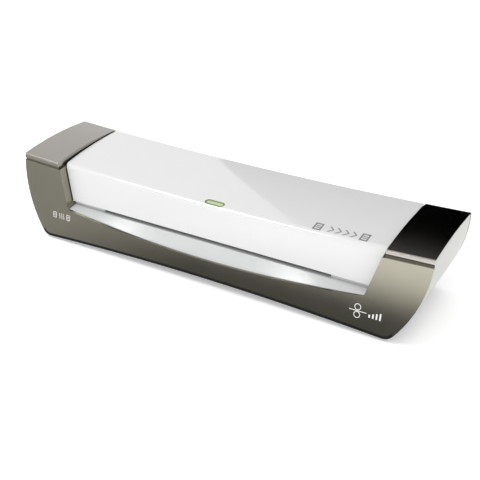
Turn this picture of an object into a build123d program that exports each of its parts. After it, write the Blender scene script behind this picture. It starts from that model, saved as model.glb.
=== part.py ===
"""Pouch laminator for A4 sheets: casing, roller drive, heaters and controls, one STEP per piece.

Row frame in millimetres: +X to the user's right, +Y to the rear, +Z up.
The origin is under the middle of the casing, on the surface that the feet stand on.
"""
from build123d import *
import math
import os

# ---------------------------------------------------------------- overall casing
LENGTH = 450.0            # end to end
DEPTH = 114.0             # toe of the front to the rear panel
RIDGE_Z = 86.0            # front top edge at the two ends
TOE_Z = 3.5               # lowest line of the front
LEAN = 10.0               # degrees the front leans back
DIP = 5.3                 # how much the top sinks at mid length
ARCH = 3.0                # bulge of the top from ridge to rear
REAR_RISE = 0.8           # rear top edge above the ridge
SIDE_RADIUS = 125.0       # round of the two end profiles
SIDE_TOP_Z = 84.0         # height where that round stands upright
CORNER_RADIUS = 12.0      # round between end profile and underside
BOTTOM_MID_Z = 8.0        # underside at mid length
BOTTOM_FOOT_X = 180.0     # where the arched underside is lowest

# ---------------------------------------------------------------- casing walls
WALL = 2.5                # moulded walls
SEAM = 0.2                # joint between two casing shells
SPLIT_Z = 18.0            # joint between base tray and side panels
FRAME_WALL = 2.5          # front frame plate
BAND_LIFT = 2.6           # front frame above the underside
BASE_CORNER = 8.0         # base tray's visible line ends this far inside the end profile
CAP_WIDTH = 44.0          # end caps, along the length
CAP_RIM = 0.9             # thin outer rim of a cap, over the side panel
CAP_LIP = 6.6             # front lip of a cap, down the front
CAP_ROUND = 2.6           # round of that lip
CAP_COVE = 3.0            # height of the lip above its cove
COVE_DEPTH = 1.6          # how far the cove goes in
CAP_FLANGE = 11.0         # depth of the caps' inner side wall
INNER_WALL = 2.0          # caps' and frame's inner side walls

# ---------------------------------------------------------------- front opening
MOUTH_HALF = 167.0        # half width of the front opening at its foot
MOUTH_FOOT_Z = 37.0       # foot of the opening at its two ends
MOUTH_MID_Z = 26.4        # foot of the opening at mid length
COVER_RECESS = 10.0       # top cover's front behind the frame
COVER_SINK = 5.0          # top cover under the caps at the ridge
COVER_REAR_SINK = 0.3     # the same at the rear
COVER_ARCH = 2.2          # bulge of the top cover from ridge to rear
COVER_GAP = 1.0           # top cover to caps and frame, each side
COVER_ROUND = 6.0         # round of the top cover's ridge
FRAME_REVEAL = 12.0       # depth of the frame's inner side walls
REAR_VENT = (9.0, 2.4)    # upright slits of the rear panel, over the rollers
REAR_VENTS = 12
REAR_VENT_PITCH = 8.0
BASE_VENT = (30.0, 3.0)   # slits of the underside, in five columns and three rows
BASE_VENT_PITCH = (40.0, 16.0)

# ---------------------------------------------------------------- sheet path
PATH_Z = 40.5             # middle of the pouch path
SLOT_HEIGHT = 4.4         # entry slot
SLOT_HALF = 129.0         # half width of the entry slot
EXIT_HEIGHT = 8.0         # exit slot
TRAY_WALL = 2.4
TRAY_SHELF = 6.5          # level shelf behind the sloping lip
TRAY_GAP = 0.3            # tray to frame, each side
TRAY_STEP = 3.0           # walls beside the slot, behind the top cover's face
END_WALL = 1.5            # thickness of those walls
TRAY_SKIRT = 14.0         # depth of the tray behind the frame's band

# ---------------------------------------------------------------- rollers
ROLLER_RADIUS = 9.0
ROLLER_HALF = 125.0
NIP = 0.3                 # gap between a pair of rollers with no pouch in it
SHAFT_RADIUS = 4.0
RUNNING = 0.05            # radial running clearance in the bushes
HOT_Y = -12.0
ROW_RATIO = 3.78          # distance of the two roller rows, in roller radii
SHAFT_LEFT_X = -149.0
SHAFT_RIGHT_X = 160.0

# ---------------------------------------------------------------- chassis
PLATE_X = 140.0           # inner face of the side plates
PLATE_WALL = 2.0
PLATE_FRONT_Y = -34.0
PLATE_REAR_Y = 46.0
PLATE_FOOT_Z = 12.0
PLATE_TOP_Z = 66.0
PLATE_CORNER = 8.0        # cut corner under the top cover's front
TAB_DEPTH = 12.0
TAB_REACH = 11.0
TIE_RADIUS = 3.0
TIE_SPOTS = ((-28.0, 24.0), (38.0, 20.0))
BUSH_RADIUS = 6.5
BUSH_FLANGE = 8.0
BUSH_FLANGE_WALL = 1.0
SLOT_WIDTH = 12.0         # side plate slots around the upper shafts

# ---------------------------------------------------------------- lifting frame
LIFT_X = 143.2            # inner face of the lift plates
LIFT_WALL = 1.6
LIFT_TRAVEL = 1.0
LIFT_MARGIN = 9.5         # lift plates beyond the roller axes
LIFT_BAR_RADIUS = 2.5
LIFT_BAR_Y = 5.0
LIFT_BAR_Z = 70.5
GUIDE_RADIUS = 2.0
GUIDE_REACH = (9.5, 9.52)  # guide pins behind the front row, before the rear row
GUIDE_Z = 58.0
GUIDE_SLACK = 0.3
SPRING_RADIUS = 2.2
SPRING_WIRE = 0.35
SPRING_POST_RADIUS = 1.5
SPRING_POST_RISE = 3.9    # lower spring posts above the idler pin
SPRING_TOP_Z = 44.0       # spring posts of the lift plates
SPRING_POST_END = 6.3     # posts stand out of the side plate's outer face

# ---------------------------------------------------------------- release
CAM_Y = 40.0
CAM_Z = 60.0
CAM_SHAFT_RADIUS = 3.0
CAM_RADIUS = 5.0
CAM_THROW = 2.5
RELEASE_ANGLE = 25.0      # degrees of lever travel
CAM_GAP = 0.35            # cam to lift tab at rest
LEVER_X = -98.0
LEVER_WIDTH = 18.0
LEVER_WALL = 3.0
WINDOW_SLACK = 3.0

# ---------------------------------------------------------------- gears
GEAR_TEETH = 18
PINION_TEETH = 10
GEAR_X = 150.0
GEAR_WIDTH = 7.0
TOOTH_PLAY = 0.10         # side play of a tooth, each flank

# ---------------------------------------------------------------- motor
MOTOR_RADIUS = 12.0
MOTOR_LENGTH = 22.0
MOTOR_BOSS = 3.0
BRACKET_X = 162.0
BRACKET_WALL = 1.6
BRACKET_MARGIN = 15.0     # bracket beyond the idler and the pinion
BRACKET_TOP_Z = 37.4
MOTOR_TAIL = 1.5          # rear bearing of the motor
MOTOR_SHAFT_RADIUS = 1.5
IDLER_PIN_RADIUS = 2.0
PINION_ANGLE = -45.0      # degrees, pinion seen from the lower pull roller
PILLAR_PAST_PINION = 11.9155   # rear pillar of the bracket, behind the pinion
PILLAR_Z = (14.5, 32.0)   # front pair of pillars, rear pillar
PILLAR_SPREAD = (11.01, 11.99) # front pair, before and behind the idler pin

# ---------------------------------------------------------------- heaters
HEATER_FRONT_Y = -33.0
HEATER_DEPTH = 11.0
HEATER_WALL = 4.0
STRIP_DEPTH = 7.0
STRIP_WALL = 1.6
THERMOSTAT_X = 30.0
THERMOSTAT_RADIUS = 5.0
TAB_PITCH = 3.0           # thermostat's terminals, from its middle
FUSE_X = -40.0
FUSE_RADIUS = 2.0
FUSE_LENGTH = 12.0
RIBS = 9                  # ribs under the exit guide
RIB_PITCH = 30.0
RIB_HEIGHT = 4.0

# ---------------------------------------------------------------- button
BUTTON_LENGTH = 21.5
BUTTON_WIDTH = 7.6
BUTTON_GAP = 0.35
BUTTON_SINK = 0.5
BUTTON_TILT = 20.0        # degrees from upright, towards the user
BUTTON_TRAVEL = 0.8
BUTTON_LUG = 1.5          # stop lugs beyond the button's ends
LUG_TOP = -4.2            # depths below are along the button's travel
LUG_WALL = 1.2
SWITCH_TOP = -7.0
BOARD_TOP = -10.0
BOARD_WALL = 1.6
BOARD_POST_X = 14.0
BOARD_POST_HALF = 1.5
BOARD_HALF_WIDTH = 5.0
BORE_FLOOR = 0.5          # switch housing under the plunger's bore
SWITCH_HALF = 3.0
LUG_HALF_WIDTH = 2.2
PLUNGER_RADIUS = 1.6

# ---------------------------------------------------------------- feet and screws
FOOT_RADIUS = 9.0
FOOT_X = 165.0
FOOT_Y = 36.0
SCREW_RADIUS = 1.5
SCREW_HEAD = 3.0
SCREW_HEAD_WALL = 1.8
BOSS_RADIUS = 4.0
CASING_SCREW_X = 192.0
CASING_SCREW_Y = 30.0
CASING_SCREW_TOP = 27.0
SCREW_DEPTH = 4.0

# ---------------------------------------------------------------- mains inlet
INLET_X = -172.0
INLET_Z = 29.0
INLET_WIDTH = 20.0
INLET_HEIGHT = 12.0
INLET_DEPTH = 18.0
INLET_PITCH = 8.6
INLET_PIN_RADIUS = 1.18

# ---------------------------------------------------------------- control board and leads
BOARD_SPAN_X = (-186.0, -155.0)
BOARD_SPAN_Y = (-35.0, 33.0)
CORE_Y = -18.0            # transformer's laminated core
CORE_HALF_X = 11.0
CORE_HALF_Y = 9.0
CORE_HEIGHT = 17.0
LEAD_RADIUS = 1.2
LEAD_Y = -44.0

# ---------------------------------------------------------------- worked out from the above
HALF = LENGTH / 2
REAR_Y = DEPTH / 2
TOE_Y = -DEPTH / 2
LEAN_TAN = math.tan(math.radians(LEAN))
LEAN_COS = math.cos(math.radians(LEAN))
LEAN_SIN = math.sin(math.radians(LEAN))
RIDGE_Y = TOE_Y + (RIDGE_Z - TOE_Z) * LEAN_TAN
TOP_RUN = REAR_Y - RIDGE_Y
DIP_RADIUS = (HALF**2 + DIP**2) / (2 * DIP)
BOTTOM_RISE = BOTTOM_MID_Z - TOE_Z
BOTTOM_RADIUS = (BOTTOM_FOOT_X**2 + BOTTOM_RISE**2) / (2 * BOTTOM_RISE)
SIDE_CENTRE_X = HALF - SIDE_RADIUS
CAP_INNER_X = HALF - CAP_WIDTH
SLOT_TOP_Z = PATH_Z + SLOT_HEIGHT / 2
SLOT_FLOOR_Z = PATH_Z - SLOT_HEIGHT / 2
MOUTH_SLOPE = (CAP_INNER_X - MOUTH_HALF) / (RIDGE_Z - MOUTH_FOOT_Z)
PULL_Y = HOT_Y + ROW_RATIO * ROLLER_RADIUS
UPPER_Z = PATH_Z + NIP / 2 + ROLLER_RADIUS
LOWER_Z = PATH_Z - NIP / 2 - ROLLER_RADIUS
GEAR_PITCH = (UPPER_Z - LOWER_Z) / 2
MODULE = 2 * GEAR_PITCH / GEAR_TEETH
PINION_PITCH = MODULE * PINION_TEETH / 2
IDLER_Y = (HOT_Y + PULL_Y) / 2
IDLER_Z = LOWER_Z - math.sqrt((2 * GEAR_PITCH)**2 - ((PULL_Y - HOT_Y) / 2)**2)
PINION_REACH = GEAR_PITCH + PINION_PITCH
PINION_Y = PULL_Y + PINION_REACH * math.cos(math.radians(PINION_ANGLE))
PINION_Z = LOWER_Z + PINION_REACH * math.sin(math.radians(PINION_ANGLE))
GUIDE_SPOTS = (HOT_Y + GUIDE_REACH[0], PULL_Y - GUIDE_REACH[1])
SPRING_POST_Z = (IDLER_Z + SPRING_POST_RISE, SPRING_TOP_Z)
BRACKET_PILLARS = ((IDLER_Y - PILLAR_SPREAD[0], PILLAR_Z[0]), (IDLER_Y + PILLAR_SPREAD[1], PILLAR_Z[0]),
                   (PINION_Y + PILLAR_PAST_PINION, PILLAR_Z[1]))
FAR = 600.0               # larger than the whole machine, for cutting shapes

FRONT = Plane(origin=(0, RIDGE_Y, RIDGE_Z), x_dir=(1, 0, 0), z_dir=(0, -LEAN_COS, LEAN_SIN))


# ================================================================ shared shapes
def front_y(z, inset=0.0):
    """Y of the leaning front at a height, measured inset behind it along Y."""
    return RIDGE_Y - (RIDGE_Z - z) * LEAN_TAN + inset


def side_x(z, inset=0.0):
    """Half width of the casing at a height."""
    drop = SIDE_TOP_Z - z
    return SIDE_CENTRE_X + math.sqrt((SIDE_RADIUS - inset)**2 - drop**2)


def bottom_z(x, inset=0.0):
    """Height of the arched underside."""
    centre = BOTTOM_MID_Z - BOTTOM_RADIUS
    return centre + math.sqrt((BOTTOM_RADIUS + inset)**2 - x**2)


def corner_z(inset=0.0):
    """Height where the end profile meets the underside, before rounding."""
    low = TOE_Z - 2 * WALL
    high = SIDE_TOP_Z
    for _ in range(60):
        mid = (low + high) / 2
        if bottom_z(side_x(mid, inset), inset) > mid:
            low = mid
        else:
            high = mid
    return mid


def casing_outline(inset=0.0):
    """Front view of the casing, without its top, as a face in the XZ plane."""
    top = RIDGE_Z + 30
    wide = HALF - inset
    low_z = corner_z(inset)
    low_x = side_x(low_z, inset)
    mid_z = (SIDE_TOP_Z + low_z) / 2
    mid_x = side_x(mid_z, inset)
    right = Edge.make_three_point_arc((wide, 0, SIDE_TOP_Z), (mid_x, 0, mid_z), (low_x, 0, low_z))
    under = Edge.make_three_point_arc((low_x, 0, low_z), (0, 0, bottom_z(0, inset)), (-low_x, 0, low_z))
    left = Edge.make_three_point_arc((-low_x, 0, low_z), (-mid_x, 0, mid_z), (-wide, 0, SIDE_TOP_Z))
    up_left = Edge.make_line((-wide, 0, SIDE_TOP_Z), (-wide, 0, top))
    across = Edge.make_line((-wide, 0, top), (wide, 0, top))
    down_right = Edge.make_line((wide, 0, top), (wide, 0, SIDE_TOP_Z))
    face = Face(Wire([right, under, left, up_left, across, down_right]))
    corners = [v for v in face.vertices() if abs(v.Z - low_z) < 0.01]
    return face.fillet_2d(CORNER_RADIUS - inset, corners)


def along_y(face, start, stop):
    """Solid from a face in the XZ plane, between two Y values."""
    return Pos(0, stop, 0) * extrude(face, amount=stop - start, dir=(0, -1, 0))


def block(x_span, y_span, z_span):
    """Box between given limits."""
    size = [span[1] - span[0] for span in (x_span, y_span, z_span)]
    centre = [(span[1] + span[0]) / 2 for span in (x_span, y_span, z_span)]
    return Pos(*centre) * Box(*size)


def rod(axis, centre, radius, start, stop):
    """Cylinder along X, Y or Z between two values on that axis; centre gives the other two."""
    length = stop - start
    mid = (start + stop) / 2
    body = Cylinder(radius, length)
    if axis == "X":
        return Pos(mid, centre[0], centre[1]) * Rot(0, 90, 0) * body
    if axis == "Y":
        return Pos(centre[0], mid, centre[1]) * Rot(90, 0, 0) * body
    return Pos(centre[0], centre[1], mid) * body


def both_sides(shape):
    """The shape and its mirror image at the other end of the machine."""
    return [shape, shape.mirror(Plane.YZ)]


def top_circle(front_drop, rear_drop, arch, thickness):
    """Centre and radius of a front-to-rear arch of the top, at mid length."""
    z_a = RIDGE_Z - DIP - front_drop
    z_b = RIDGE_Z - DIP + REAR_RISE - rear_drop
    chord = math.hypot(TOP_RUN, z_b - z_a)
    radius = (chord**2 / 4 + arch**2) / (2 * arch)
    tilt = math.atan2(z_b - z_a, TOP_RUN)
    mid_y = (RIDGE_Y + REAR_Y) / 2
    mid_z = (z_a + z_b) / 2
    reach = radius - arch
    centre_y = mid_y + reach * math.sin(tilt)
    centre_z = mid_z - reach * math.cos(tilt)
    return centre_y, centre_z, radius - thickness


def over_dip(face):
    """Carry a side-view section along the sagging length of the machine."""
    axis = Axis((0, 0, RIDGE_Z - DIP + DIP_RADIUS), (0, 1, 0))
    angle = 3.2
    start = face.rotate(axis, -angle)
    return revolve(start, axis, revolution_arc=2 * angle)


def above(front_drop, rear_drop, arch, thickness):
    """Everything above one of the arched, sagging top surfaces."""
    centre_y, centre_z, radius = top_circle(front_drop, rear_drop, arch, thickness)
    field = Plane.YZ * Pos(0, RIDGE_Z, 0) * Rectangle(DEPTH + 60, 90)
    disc = Plane.YZ * Pos(centre_y, centre_z, 0) * Circle(radius)
    return over_dip(field - disc)


def above_caps(thickness=0.0):
    """Everything above the caps' top, or above a surface at a depth under it."""
    return above(0.0, 0.0, ARCH, thickness)


def above_cover(thickness=0.0):
    """Everything above the top cover, or above a surface at a depth under it."""
    return above(COVER_SINK, COVER_REAR_SINK, COVER_ARCH, thickness)


def front_layer(near, far):
    """Slab behind the leaning front, between two depths square to it."""
    return FRONT * Pos(0, 0, -(near + far) / 2) * Box(FAR, FAR, far - near)


def casing(inset=0.0):
    """The whole casing as one closed form, shrunk by an inset."""
    form = along_y(casing_outline(inset), TOE_Y - 20, REAR_Y - inset)
    form -= front_layer(-FAR / 2, inset)
    return form - above_caps(inset)


def mouth_outline(grow=0.0, foot=0.0):
    """Front opening in the XZ plane: two leaning sides and a sagging foot."""
    foot_z = MOUTH_FOOT_Z - foot
    mid_z = MOUTH_MID_Z - foot
    top_z = RIDGE_Z + 20
    low_x = MOUTH_HALF + grow - (MOUTH_FOOT_Z - foot_z) * MOUTH_SLOPE
    top_x = low_x + (top_z - foot_z) * MOUTH_SLOPE
    sag = Edge.make_three_point_arc((-low_x, 0, foot_z), (0, 0, mid_z), (low_x, 0, foot_z))
    right = Edge.make_line((low_x, 0, foot_z), (top_x, 0, top_z))
    across = Edge.make_line((top_x, 0, top_z), (-top_x, 0, top_z))
    left = Edge.make_line((-top_x, 0, top_z), (-low_x, 0, foot_z))
    return Face(Wire([sag, right, across, left]))


def end_zone(near):
    """Everything beyond a distance from the middle, at the right end."""
    return block((near, FAR), (-FAR, FAR), (-FAR, FAR))


def below(z):
    """Everything under a height."""
    return block((-FAR, FAR), (-FAR, FAR), (-FAR, z))


def pill(length, width, height):
    """Upright rod of stadium section, centred."""
    return extrude(SlotOverall(length, width), amount=height / 2, both=True)


# ================================================================ casing pieces
def make_front_frame(shell):
    """U-shaped metallic front: two columns, the band between them and their inner walls."""
    plate = shell & front_layer(0, FRAME_WALL)
    mouth = along_y(mouth_outline(), TOE_Y - 30, REAR_Y)
    plate -= mouth
    plate -= above_caps(CAP_LIP + SEAM)
    underside = casing_outline(BAND_LIFT)
    low = below(SPLIT_Z) - along_y(underside, TOE_Y - 30, REAR_Y)
    foot_x = side_x(SPLIT_Z) - BASE_CORNER
    foot_zone = block((-foot_x, foot_x), (-FAR, FAR), (-FAR, SPLIT_Z))
    plate -= low & foot_zone
    reveal = along_y(mouth_outline(INNER_WALL), TOE_Y - 30, REAR_Y) - mouth
    reveal &= front_layer(0.5, FRAME_REVEAL)
    reveal -= below(MOUTH_FOOT_Z)
    reveal -= above_caps(CAP_LIP + SEAM)
    return plate + reveal


def make_cap(shell):
    """Right end cap: arched top, rounded front lip with a cove, inner side wall."""
    zone = end_zone(CAP_INNER_X)
    top = (casing(0) & zone & above_caps(WALL))
    rim_cut = zone - along_y(casing_outline(WALL + SEAM), TOE_Y - 30, REAR_Y + 30)
    rim_cut -= above_caps(CAP_RIM)
    top -= rim_cut - front_layer(0, FRAME_WALL)
    ridge = [e for e in top.edges() if abs(e.center().Y - front_y(e.center().Z)) < 0.3
             and e.length > CAP_WIDTH * 0.8 and e.center().Z > RIDGE_Z - DIP]
    ridge = sorted(ridge, key=lambda e: e.center().Z)[-1:]
    top = fillet(ridge, CAP_ROUND - 0.2)
    lip = shell & zone & front_layer(0, FRAME_WALL) & above_caps(CAP_LIP)
    lip -= above_caps(WALL)
    cap = top + lip
    cap -= cap_cove()
    wall = block((CAP_INNER_X, CAP_INNER_X + INNER_WALL), (RIDGE_Y - 5, REAR_Y),
                 (RIDGE_Z - CAP_FLANGE, RIDGE_Z + 20))
    wall -= front_layer(-FAR / 2, FRAME_WALL)
    wall -= above_caps(WALL / 2)
    wall -= along_y(mouth_outline(0), TOE_Y - 30, REAR_Y)
    frame_zone = front_layer(0, FRAME_REVEAL + SEAM) - above_caps(CAP_LIP)
    wall -= frame_zone
    return cap + wall


def cap_cove():
    """Cut under the round of a cap's lip, along the lip."""
    mid_x = HALF - CAP_WIDTH / 2
    lift = DIP * (mid_x / HALF)**2
    top_z = RIDGE_Z - DIP - CAP_COVE
    foot_z = RIDGE_Z - DIP - CAP_LIP - 1
    inner = COVE_DEPTH * (CAP_LIP + 1 - CAP_COVE) / (CAP_LIP - CAP_COVE)
    points = ((front_y(top_z + lift), top_z), (front_y(foot_z + lift) - 4, top_z),
              (front_y(foot_z + lift) - 4, foot_z), (front_y(foot_z + lift, inner), foot_z))
    section = Plane.YZ * make_face(Polyline(*points, close=True))
    return over_dip(section)


def make_side_panel(shell):
    """Right white side panel, from the base tray up to the cap's rim."""
    panel = shell & end_zone(side_x(SPLIT_Z, 0) - 30)
    panel -= below(SPLIT_Z + SEAM)
    panel -= front_layer(-FAR / 2, FRAME_WALL + SEAM)
    panel -= above_caps(CAP_RIM + SEAM)
    panel -= along_y(casing_outline(WALL), TOE_Y - 30, REAR_Y + 30)
    panel -= block((0, FAR), (REAR_Y - WALL - SEAM, FAR), (-FAR, FAR))
    inner = along_y(casing_outline(WALL / 2), TOE_Y - 30, REAR_Y + 30)
    for x, y in casing_spots()[:2]:
        boss = rod("Z", (x, y), BOSS_RADIUS, SPLIT_Z + SEAM, CASING_SCREW_TOP + 2)
        boss += block((x, HALF), (y - 1, y + 1), (SPLIT_Z + SEAM, CASING_SCREW_TOP + 2))
        panel += boss & inner
        panel -= rod("Z", (x, y), SCREW_RADIUS, SPLIT_Z, CASING_SCREW_TOP)
    return panel


def make_rear_panel():
    """Dark rear panel with the exit slot, the release window, the inlet's cut-out and vents."""
    panel = along_y(casing_outline(0), REAR_Y - WALL, REAR_Y)
    panel -= below(SPLIT_Z + SEAM)
    ends = above_caps(WALL + SEAM)
    middle = above_cover(WALL + SEAM) & block((-CAP_INNER_X, CAP_INNER_X), (-FAR, FAR), (0, FAR))
    wall_slots = block((CAP_INNER_X - SEAM, CAP_INNER_X + INNER_WALL + SEAM), (0, FAR),
                       (RIDGE_Z - CAP_FLANGE - SEAM, FAR))
    panel -= ends
    panel -= middle
    for slot in both_sides(wall_slots):
        panel -= slot
    rim = along_y(casing_outline(0), REAR_Y - WALL, REAR_Y) - along_y(casing_outline(WALL), 0, REAR_Y)
    rim -= below(SIDE_TOP_Z - 20)
    rim -= above_caps(CAP_RIM + SEAM)
    panel += rim
    panel -= block((-SLOT_HALF, SLOT_HALF), (0, FAR), (PATH_Z - EXIT_HEIGHT / 2, PATH_Z + EXIT_HEIGHT / 2))
    panel -= lever_window()
    panel -= Pos(INLET_X, REAR_Y, INLET_Z) * Box(INLET_WIDTH + 2 * SEAM, 3 * WALL, INLET_HEIGHT + 2 * SEAM)
    vent = Pos(0, REAR_Y, PLATE_TOP_Z) * Rot(90, 0, 0) * pill(*REAR_VENT, 3 * WALL).rotate(Axis.Z, 90)
    for index in range(REAR_VENTS):
        panel -= Pos((index - (REAR_VENTS - 1) / 2) * REAR_VENT_PITCH, 0, 0) * vent
    return panel


def lever_window():
    """Opening of the rear panel that the release lever is pressed through."""
    reach = WINDOW_SLACK + LEVER_WALL / 2
    drop = (REAR_Y - CAM_Y) * math.sin(math.radians(RELEASE_ANGLE))
    return block((LEVER_X - LEVER_WIDTH / 2 - WINDOW_SLACK, LEVER_X + LEVER_WIDTH / 2 + WINDOW_SLACK),
                 (CAM_Y, FAR), (CAM_Z - drop - reach, CAM_Z + reach))


def make_base_tray(shell):
    """Black base tray: arched floor, low walls, bosses for the chassis and the casing screws."""
    tray = shell & below(SPLIT_Z)
    frame_zone = front_layer(0, FRAME_WALL + SEAM)
    keep = along_y(casing_outline(0), TOE_Y - 30, REAR_Y)
    keep -= along_y(casing_outline(BAND_LIFT - SEAM), TOE_Y - 30, REAR_Y)
    foot_x = side_x(SPLIT_Z) - BASE_CORNER - SEAM
    tray -= frame_zone - (keep & block((-foot_x, foot_x), (-FAR, FAR), (-FAR, SPLIT_Z)))
    inner = casing(WALL / 2)
    for x, y in tab_spots():
        boss = rod("Z", (x, y), BOSS_RADIUS, 0, PLATE_FOOT_Z) & inner
        tray += boss
        tray -= rod("Z", (x, y), SCREW_RADIUS, PLATE_FOOT_Z - 5, PLATE_FOOT_Z + 1)
    for x, y in board_spots():
        tray += rod("Z", (x, y), BOSS_RADIUS - 1, 0, PLATE_FOOT_Z) & inner
        tray -= rod("Z", (x, y), SCREW_RADIUS, PLATE_FOOT_Z - 4, PLATE_FOOT_Z + 1)
    for x, y in casing_spots():
        tray += rod("Z", (x, y), BOSS_RADIUS, 0, SPLIT_Z) & inner
        tray -= rod("Z", (x, y), SCREW_RADIUS, 0, SPLIT_Z + 1)
        tray -= rod("Z", (x, y), SCREW_HEAD, -1, bottom_z(x) + SCREW_HEAD_WALL)
    vent = pill(*BASE_VENT, 12 * WALL)
    for column in (-2, -1, 0, 1, 2):
        for row in (-1, 0, 1):
            tray -= Pos(BASE_VENT_PITCH[0] * column, BASE_VENT_PITCH[1] * row, BOTTOM_MID_Z) * vent
    return tray


def make_top_cover():
    """White top cover: arched top, rounded ridge and the front face down to the slot."""
    outer = cover_form(0, COVER_ROUND)
    inner = cover_form(WALL, COVER_ROUND - WALL)
    inner += Pos(0, WALL, 0) * inner
    cover = outer - inner
    cover -= block((-FAR, FAR), (REAR_Y - WALL - SEAM, FAR), (-FAR, FAR)) - above_cover(WALL)
    far_x = BOARD_POST_X + BOARD_POST_HALF
    near_x = BOARD_POST_X - BOARD_POST_HALF
    posts = block((-far_x, far_x), (-BOARD_POST_HALF, BOARD_POST_HALF), (BOARD_TOP, 0))
    posts -= block((-near_x, near_x), (-BOARD_POST_HALF, BOARD_POST_HALF), (BOARD_TOP, 0))
    cover += (button_place() * posts) & cover_form(WALL / 2, COVER_ROUND - WALL / 2)
    return cover - button_place() * pill(BUTTON_LENGTH, BUTTON_WIDTH, 2 * WALL + 6)


def cover_form(inset, rounding):
    """Closed form of the top cover, shrunk by an inset, with its ridge rounded."""
    top_z = RIDGE_Z + 20
    low_z = SLOT_TOP_Z if inset == 0 else SLOT_TOP_Z - 10
    low_x = mouth_x(low_z) - COVER_GAP - inset
    top_x = mouth_x(top_z) - COVER_GAP - inset
    straight_x = CAP_INNER_X - COVER_GAP - inset
    knee_z = low_z + (straight_x - low_x) / MOUTH_SLOPE
    points = ((-low_x, low_z), (low_x, low_z), (straight_x, knee_z), (straight_x, top_z),
              (-straight_x, top_z), (-straight_x, knee_z))
    face = Plane.XZ * make_face(Polyline(*points, close=True))
    form = along_y(face, TOE_Y, REAR_Y)
    depth = COVER_RECESS * LEAN_COS + inset
    form -= front_layer(-FAR / 2, depth)
    form -= above_cover(inset)
    edges = [e for e in form.edges() if e.length > LENGTH / 2
             and abs(e.center().Y - front_y(e.center().Z, depth / LEAN_COS)) < 0.5
             and e.center().Z > SLOT_TOP_Z + 10]
    return fillet(edges, rounding)


def mouth_x(z):
    """Half width of the front opening at a height."""
    return MOUTH_HALF + (z - MOUTH_FOOT_Z) * MOUTH_SLOPE


def make_entry_tray():
    """White entry tray: a lip that sags at mid length and a level shelf under the slot."""
    rear_y = front_y(SLOT_TOP_Z, COVER_RECESS)
    lip = tray_block(rear_y, 0.0) - tray_block(rear_y, TRAY_WALL)
    wide = mouth_x(SLOT_TOP_Z) - TRAY_GAP
    shelf_span = (SLOT_FLOOR_Z - TRAY_WALL, SLOT_FLOOR_Z)
    shelf = block((-PLATE_X + 1, PLATE_X - 1), (rear_y, rear_y + TRAY_SHELF), shelf_span)
    shelf += block((-wide, wide), (rear_y, rear_y + TRAY_STEP + END_WALL), shelf_span)
    tray = lip + shelf
    for end in both_sides(block((SLOT_HALF, wide), (rear_y + TRAY_STEP, rear_y + TRAY_STEP + END_WALL),
                                (SLOT_FLOOR_Z - TRAY_WALL, SLOT_TOP_Z - SEAM))):
        tray += end
    tray &= along_y(mouth_outline(-TRAY_GAP, TRAY_SKIRT), TOE_Y, REAR_Y)
    return tray - front_layer(-FAR / 2, FRAME_WALL + SEAM)


def tray_block(rear_y, drop):
    """Solid under the ruled slope between the sagging front edge and the straight rear edge."""
    start_y = TOE_Y + 2
    low = MOUTH_MID_Z - TRAY_SKIRT
    wide = mouth_x(MOUTH_FOOT_Z) - TRAY_GAP
    end_z = slope_start(MOUTH_FOOT_Z, rear_y, start_y)
    mid_z = slope_start(MOUTH_MID_Z, rear_y, start_y)
    front_face = tray_section(start_y, wide, end_z - drop, mid_z - drop, low)
    rear_face = tray_section(rear_y, wide, SLOT_FLOOR_Z - drop, SLOT_FLOOR_Z - drop + 0.01, low)
    return loft([front_face, rear_face], ruled=True)


def slope_start(edge_z, rear_y, start_y):
    """Height of the slope at its start so that it leaves the frame's back at the given height."""
    edge_y = front_y(edge_z, (FRAME_WALL + SEAM) / LEAN_COS)
    run = (rear_y - edge_y) / (rear_y - start_y)
    return SLOT_FLOOR_Z + (edge_z - SLOT_FLOOR_Z) / run


def tray_section(y, wide, end_z, mid_z, low):
    """Section of the tray's slope at one depth: a sagging top over a flat foot."""
    top = Edge.make_three_point_arc((-wide, y, end_z), (0, y, mid_z), (wide, y, end_z))
    right = Edge.make_line((wide, y, end_z), (wide, y, low))
    foot = Edge.make_line((wide, y, low), (-wide, y, low))
    left = Edge.make_line((-wide, y, low), (-wide, y, end_z))
    return Face(Wire([top, right, foot, left]))


# ================================================================ button
def button_place():
    """Place of the button on the ridge of the top cover, with Z along its travel."""
    centre_y = RIDGE_Y + COVER_RECESS + COVER_ROUND * 0.75
    centre_z = RIDGE_Z - DIP - COVER_SINK
    return Pos(0, centre_y, centre_z) * Rot(BUTTON_TILT, 0, 0)


def button_direction():
    """Unit vector of the button's travel, into the casing."""
    tilt = math.radians(BUTTON_TILT)
    return Vector(0, math.sin(tilt), -math.cos(tilt))


def make_power_button(cover):
    """Green button: a pill sunk a little under the cover's surface, with two stop lugs."""
    sunk = cover.moved(Location(button_direction() * BUTTON_SINK))
    head = button_place() * pill(BUTTON_LENGTH - 2 * BUTTON_GAP, BUTTON_WIDTH - 2 * BUTTON_GAP, 16)
    head &= sunk
    head &= button_place() * block((-FAR, FAR), (-FAR, FAR), (LUG_TOP, FAR))
    reach = BUTTON_LENGTH / 2 + BUTTON_LUG
    lugs = block((-reach, reach), (-LUG_HALF_WIDTH, LUG_HALF_WIDTH), (LUG_TOP - LUG_WALL, LUG_TOP))
    return head + button_place() * lugs


def make_switch_plunger():
    """Plunger that the button presses, guided by the switch housing, with room for its travel."""
    foot = BOARD_TOP + BORE_FLOOR + BUTTON_TRAVEL + BUTTON_GAP
    return button_place() * rod("Z", (0, 0), PLUNGER_RADIUS, foot, LUG_TOP - LUG_WALL)


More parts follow.
